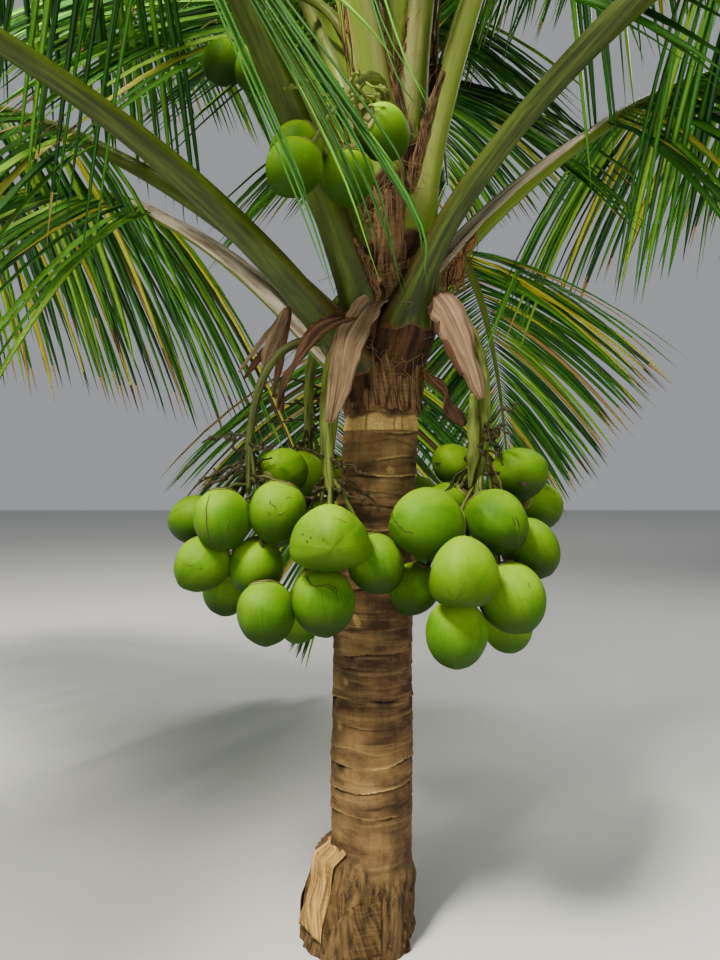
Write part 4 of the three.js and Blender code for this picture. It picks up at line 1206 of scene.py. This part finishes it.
def add_nut_marks(piece, name, nuts):
    """Thin lines of corky skin, laid on the side of the husk that the camera sees."""
    for count, (bunch, i, thickness, spots) in enumerate(NUT_MARKS):
        if bunch != name:
            continue
        nut = nuts[i]
        toward = unit(np.array(CAMERA_PLACE) - nut.middle)
        right = unit(np.cross(UP, toward))
        spots = curve_through([(*spot, 0.0) for spot in spots], MARK_RINGS)
        spots = spots + np.random.default_rng(700 + count).normal(0, 0.01, spots.shape)
        depth = np.sqrt(np.clip(1 - spots[:, 0] ** 2 - spots[:, 1] ** 2, 0.02, 1))
        way = unit(spots[:, :1] * right + spots[:, 1:2] * np.cross(toward, right) + toward * depth[:, None])
        angle = np.arccos(np.clip(-(way @ nut.axis), -0.999, 0.999))
        turn = np.arctan2(way @ unit(nut.lift), way @ unit(nut.across))
        thick = thickness * np.sin(np.linspace(0.35, np.pi - 0.35, MARK_RINGS)) ** 0.5
        add_rod(piece, nut_surface(nut, turn, angle)[0], thick, 5, 1, count)


def add_nut(piece, nut, paints):
    angle = np.linspace(0.03, np.pi - 0.02, NUT_RINGS)[:, None]
    points, place, marks = nut_surface(nut, turns(NUT_SIDES)[None], angle)
    piece.add(points, closed_faces(NUT_RINGS, NUT_SIDES), int(chance(nut.seed, 5) * paints), place, **marks)


def add_calyx(piece, nut):
    """Two whorls of three rounded bracts that cup the stem end."""
    spread = np.linspace(-1, 1, 9)
    for whorl in range(2):
        reach = np.linspace(0.05, BRACT_REACH - 0.1 * whorl, 7)[:, None]
        angle = reach * (1 - 0.22 * spread**2)
        girth = nut.half * np.sin(angle) * 1.02 + 0.0025 * (1 + whorl) + 0.004 * (reach / BRACT_REACH) ** 2
        height = -nut.half * np.cos(angle) * NUT_LENGTH * 0.98 - 0.002 * (1 + whorl)
        for bract in range(3):
            turn = TAU * (bract / 3 + whorl / 6 + chance(nut.seed, 2)) + spread
            ring = turned(nut.across, nut.lift, turn)
            top = nut.middle + nut.axis * height[..., None] + ring * girth[..., None]
            add_sheet(piece, top, -unit(nut.middle - top), BRACT_DEPTH, whorl)


def far_bunch(to, foot):
    """The stalk's radius and line and the nuts of a bunch at the hidden side."""
    heading = math.radians(to)
    lean, radius = stem_at(foot)

    def at(out, height):
        return (lean + math.cos(heading) * (radius + out), math.sin(heading) * (radius + out), height)

    hub = at(FAR_REACH - radius, foot - FAR_DROP)
    nuts = []
    for row, (drop, wide, amount) in enumerate(FAR_RINGS):
        for i in range(amount):
            turn = heading + TAU * (i + row / 2) / amount
            place = (hub[0] + wide * math.cos(turn), hub[1] + wide * math.sin(turn), hub[2] - drop)
            nuts.append((*place, FAR_NUT * (0.95 + 0.1 * chance(i, row))))
    stalk = [at(-0.02, foot), at(0.11, foot - 0.01), at(FAR_REACH - radius - 0.012, foot - 0.19), hub]
    return FAR_STALK, stalk, nuts


GREEN_BUNCHES = ("bunch_upper", "bunch_upper_left")  # their bare strands are still green
GREEN_STRIP = [(0.326, -0.17, 1.53), (0.329, -0.172, 1.4), (0.318, -0.17, 1.275)]  # beside a right stalk


def make_bunches(looks):
    bunches = BUNCHES | {name: far_bunch(*rule) for name, rule in FAR_BUNCHES.items()}
    for count, (name, (radius, stalk, nuts)) in enumerate(bunches.items()):
        line = curve_through(stalk, STALK_RINGS)
        share = np.linspace(0, 1, STALK_RINGS)
        uneven = 1 + 0.05 * np.sin(np.arange(STALK_RINGS) * 1.7 + count)
        stems = Piece(f"{name}_stalk")
        swollen = radius * np.interp(share, (0, 0.15, 0.8, 1), (1.5, 1.2, 1.0, 0.75))
        add_rod(stems, line, swollen * uneven, 10, 0, count)
        hub = np.array(stalk[-1])
        nuts = [nut_shape(nut, NUT_POSES.get((name, i)), hub, count * 20 + i) for i, nut in enumerate(nuts)]
        husks = Piece(f"{name}_nuts", ("crown", "shade"))
        caps = Piece(f"{name}_caps")
        for i, nut in enumerate(nuts):
            add_nut(husks, nut, len(looks["nuts"]))
            add_calyx(caps, nut)
            add_strand(stems, line[int((STALK_RINGS - 1) * (1 - STRAND_SHARE * (i + 0.5) / len(nuts)))], nut)
        add_bare_strands(stems, line, count, len(nuts), 0 if name in GREEN_BUNCHES else 1)
        add_nut_marks(stems, name, nuts)
        if name == "bunch_right":
            add_lobe(stems, 0.034, GREEN_STRIP, 0, count)
        stems.make(looks["dark_stalks" if name == "bunch_left" else "stalks"], [name])
        husks.make(looks["nuts"], [name])
        caps.make(looks["caps"])


def add_strand(piece, start, nut):
    """The strand that carries one nut, thicker towards it."""
    end = nut.middle - nut.axis * nut.half * NUT_LENGTH * 0.9
    offset = 0.012 * (np.array([chance(nut.seed, i) for i in (1, 2, 3)]) - 0.5)
    bow = (start + end) / 2 + np.array((0, 0, 0.015)) + offset
    add_rod(piece, curve_through([start, bow, end], 9), np.linspace(*STRAND_HALVES, 9), 6, 0, nut.seed)


def add_bare_strands(piece, line, count, nuts, paint):
    """Spent strands that fan from the end of the stalk, kinked, with the stubs of lost buttons."""
    rng = np.random.default_rng(500 + count)
    for _ in range(9 + nuts):
        at = line[rng.integers(SPENT_RINGS, STALK_RINGS)]
        way = unit(np.array((rng.normal(0, 1), rng.normal(0, 1), rng.normal(0.1, 0.5))))
        length = rng.uniform(0.06, 0.16)
        points = [at]
        for i in range(1, 6):
            kink = rng.normal(0, 0.006, 3)
            points.append(at + way * length * i / 5 + kink - UP * 0.03 * (i / 5) ** 2)
        points = curve_through(points, STRAND_RINGS)
        halves = np.linspace(0.0044, 0.0022, STRAND_RINGS) * rng.uniform(0.8, 1.3, STRAND_RINGS)
        add_rod(piece, points, halves, 5, paint, rng.uniform(0, 9))
        for spot in rng.choice(np.arange(3, STRAND_RINGS), 3, replace=False):
            add_button(piece, points[spot] + rng.normal(0, 0.003, 3), rng.uniform(0.0045, 0.0085), way, paint)


def add_button(piece, middle, size, way, paint):
    """A small aborted nut, as round as a ball."""
    steps = np.linspace(-1, 1, 6)
    halves = size * np.sqrt(np.maximum(1 - steps**2, 0.03))
    add_rod(piece, middle + way * steps[:, None] * size, halves, 7, paint)


# Spathes, in the order that also seeds their raggedness
SPATHES = ("spathe_front", "spathe_front_side", "spathe_left", "spathe_right", "spathe_right_low")

# Those of one blade: kind, its solid's width, how broad it is beside that, how deeply it is cupped, and
# middle line
BLADES = {
    "spathe_front": ("tan", 0.084, 1.0, 0.16, [
        (0.088, -0.09, 1.8), (0.034, -0.165, 1.735), (-0.008, -0.2, 1.61), (-0.042, -0.212, 1.45),
    ]),
    "spathe_front_side": ("brown", 0.044, 0.8, 0.35, [
        (0.06, -0.092, 1.745), (-0.05, -0.19, 1.7), (-0.13, -0.226, 1.59), (-0.178, -0.235, 1.48),
    ]),
    "spathe_right_low": ("brown", 0.05, 1.0, 0.3, [
        (0.176, -0.046, 1.604), (0.232, -0.11, 1.56), (0.262, -0.125, 1.5), (0.292, -0.125, 1.44),
    ]),
}

# Those that split into tongues: kind, width and middle line of each
LOBES = {
    "spathe_left": [
        ("tan", 0.016, [
            (-0.178, -0.03, 1.792), (-0.23, -0.032, 1.724), (-0.276, -0.034, 1.664), (-0.318, -0.036, 1.606),
        ]),
        ("brown", 0.024, [
            (-0.175, -0.02, 1.776), (-0.219, -0.02, 1.704), (-0.264, -0.02, 1.648), (-0.306, -0.024, 1.588),
        ]),
        ("tan", 0.05, [
            (-0.18, -0.034, 1.788), (-0.208, -0.04, 1.713), (-0.231, -0.044, 1.656), (-0.247, -0.04, 1.598),
        ]),
        ("brown", 0.022, [
            (-0.172, -0.03, 1.78), (-0.19, -0.034, 1.698), (-0.204, -0.034, 1.627), (-0.222, -0.03, 1.535),
        ]),
        ("tan", 0.04, [(-0.04, 0.04, 1.76), (-0.11, 0.016, 1.79), (-0.176, -0.02, 1.794)]),
    ],
    "spathe_right": [
        ("pink", 0.088, [
            (0.216, -0.08, 1.83), (0.252, -0.15, 1.776), (0.296, -0.172, 1.67), (0.348, -0.176, 1.516),
        ]),
        ("brown", 0.05, [
            (0.208, -0.07, 1.84), (0.232, -0.136, 1.766), (0.262, -0.158, 1.68), (0.3, -0.16, 1.58),
        ]),
    ],
}
LOBE_LOOKS = ("tan", "brown", "pink")
LOBE_GRID = (30, 9)
BLADE_GRID = (44, 21)
BLADE_DEPTH = 0.0035


def sheet_along(points, rows, columns):
    """A long sheet's middle line, its tangents, and the shares along and across it."""
    line = curve_through(points, rows)
    tangent = unit(np.gradient(line, axis=0))
    return line, tangent, np.linspace(0, 1, rows)[:, None], np.linspace(-1, 1, columns)


def add_lobe(piece, width, points, paint, seed):
    """A long tongue with its broad side to the front, a little bowed across."""
    line, tangent, share, spread = sheet_along(points, *LOBE_GRID)
    across = unit(np.cross(tangent, (0.0, -1.0, 0.0)))
    lift = np.cross(across, tangent)[:, None]
    half = width / 2 * np.sin(np.pi * (0.1 + 0.84 * share)) ** 0.8
    half = half * (1 + 0.1 * swell(spread * 2, share * 8, 600 + seed, 3, 4))
    bowed = 0.2 * width * spread**2 + 0.0012 * np.cos(spread * 14)
    top = line[:, None] + across[:, None] * (half * spread)[..., None] - lift * bowed[:, None]
    place = stacked(spread * width / 2 + seed, share * 0.4, 0)
    add_sheet(piece, top, np.broadcast_to(lift, top.shape), SHEET_DEPTH, paint, place)


def add_blade(piece, width, broad, cupped, points, count):
    """A cupped, ribbed blade with ragged edges, its outer side away from the stem."""
    line, tangent, share, spread = sheet_along(points, *BLADE_GRID)
    outward = line - stacked(stem_at(line[:, 2])[0], 0, line[:, 2])
    across = unit(np.cross(unit(outward * (1, 1, 0)), tangent))
    lift = np.cross(across, tangent)[:, None]
    half = width / 2 * broad * np.sin(np.pi * (0.12 + 0.82 * share)) ** 0.7
    half = half * (1 + 0.09 * swell(spread * 2, share * 6, 60 + count, 3, 4))
    half = half * (1 + 0.05 * swell(spread * 9, share * 40, 80 + count, 3, 2))
    ragged = 0.14 * np.sin(spread * 11 + count) * ease(share, 0.7, 1)
    boat = cupped * width * spread**2 * (1 - 0.5 * share)
    ribs = 0.0014 * np.cos(spread * 30) + 0.0035 * swell(spread * 4, share * 3, 70 + count, 4, 3)
    curl = 0.01 * swell(spread, share * 5, 90 + count, 2, 3) * ease(share, 0.2, 0.6)
    along = np.gradient(line, axis=0)[:, None] * (ragged * 3)[..., None]
    top = line[:, None] + across[:, None] * (half * spread)[..., None] + along
    top = top - lift * (boat + ribs + curl)[..., None]
    place = stacked(spread * width + count, share * 0.6, 0)
    add_sheet(piece, top, np.broadcast_to(lift, top.shape), BLADE_DEPTH, 0, place)


def make_spathes(looks):
    for count, name in enumerate(SPATHES):
        piece = Piece(f"{name}_dry")
        if name in BLADES:
            look, *rule = BLADES[name]
            add_blade(piece, *rule, count)
            piece.make([looks[look]], [name])
            continue
        for seed, (look, width, points) in enumerate(LOBES[name]):
            add_lobe(piece, width, points, LOBE_LOOKS.index(look), seed)
        piece.make([looks[look] for look in LOBE_LOOKS], [name])


# Camera, floor and light

SKY = (0.92, 0.95, 1.0)
SKY_STRENGTH = 0.36


def make_camera():
    data = bpy.data.cameras.new("camera")
    data.lens = CAMERA_LENS
    data.sensor_width = SENSOR_WIDTH
    data.clip_start = SEEN_FROM
    data.clip_end = SEEN_TO
    camera = placed("camera", data)
    camera.location = CAMERA_PLACE
    camera.rotation_euler = (math.pi / 2, 0, 0)
    bpy.context.scene.camera = camera


def make_floor():
    mesh = bpy.data.meshes.new("floor")
    half = FLOOR_SIZE / 2
    corners = [(-half, -half, 0), (half, -half, 0), (half, half, 0), (-half, half, 0)]
    mesh.from_pydata(corners, [], [(0, 1, 2, 3)])
    mesh.materials.append(plain("floor", PALE, 0.9, 0.1))
    placed("floor", mesh)


def add_light(name, place, aim, size, power, colour=(1, 1, 1)):
    data = bpy.data.lights.new(name, "AREA")
    data.size = size
    data.energy = power
    data.color = colour
    light = placed(name, data)
    light.location = place
    light.rotation_euler = (Vector(aim) - Vector(place)).to_track_quat("-Z", "Y").to_euler()


def make_light():
    world = bpy.data.worlds.new("studio")
    world.use_nodes = True
    sky = world.node_tree.nodes["Background"]
    sky.inputs["Color"].default_value = (*SKY, 1)
    sky.inputs["Strength"].default_value = SKY_STRENGTH
    bpy.context.scene.world = world
    add_light("key", (-2.4, -3.0, 6.4), (0.05, 0, 1.3), 1.5, 2150, (1.0, 0.96, 0.84))
    add_light("front", (2.4, -4.4, 2.4), (0.1, 0, 1.3), 2.4, 60)
    add_light("back", (3.5, 4.5, 6.5), (0, 0, 2.0), 3.0, 380, (1.0, 0.98, 0.93))


def bunch_looks():
    spent = stalk_material("spent_strand", (0.12, 0.09, 0.04), (0.27, 0.25, 0.1))
    return {
        "nuts": [nut_material(f"nut_{name}", *husk) for name, husk in NUT_TONES.items()],
        "stalks": [stalk_material("stalk", (0.24, 0.27, 0.07), (0.46, 0.52, 0.17)), spent],
        "dark_stalks": [stalk_material("dark_stalk", (0.16, 0.19, 0.05), (0.34, 0.37, 0.13)), spent],
        "caps": [
            stalk_material("calyx", (0.36, 0.42, 0.14), (0.62, 0.64, 0.32)),
            stalk_material("calyx_inner", (0.3, 0.28, 0.12), (0.5, 0.48, 0.24)),
        ],
    }


def main():
    make_camera()
    make_floor()
    make_light()
    make_trunk()
    fibre = fibre_material("woven_fibre", (0.15, 0.1, 0.06), (0.52, 0.4, 0.27), 0.2)
    make_core(fibre)
    make_sheaths(fibre)
    ribs = [
        # The rib's first two colours are its painted shade below and its painted light above
        rib_material("rib", (0.18, 0.23, 0.03), (0.46, 0.54, 0.13), (0.36, 0.25, 0.12), (0.86, 0.81, 0.72)),
        fibre_material("matted_fibre", (0.09, 0.06, 0.04), (0.3, 0.21, 0.13), 0.12),
    ]
    leaves = leaf_materials()
    make_fronds("low", 1, 6, ribs, leaves)
    make_fronds("middle", 7, 13, ribs, leaves)
    make_fronds("high", 14, len(FRONDS), ribs, leaves)
    spear = rib_material("spear", (0.55, 0.62, 0.24), (0.74, 0.78, 0.4), (0.6, 0.6, 0.3), (0.7, 0.7, 0.4))
    make_spear(spear)
    make_bunches(bunch_looks())
    make_spathes({
        "tan": spathe_material("dry_spathe", (0.28, 0.21, 0.14), (0.61, 0.51, 0.38)),
        "pink": spathe_material("old_spathe", (0.24, 0.16, 0.1), (0.64, 0.52, 0.4)),
        "brown": spathe_material("dark_spathe", (0.14, 0.09, 0.06), (0.38, 0.26, 0.17)),
    })


main()
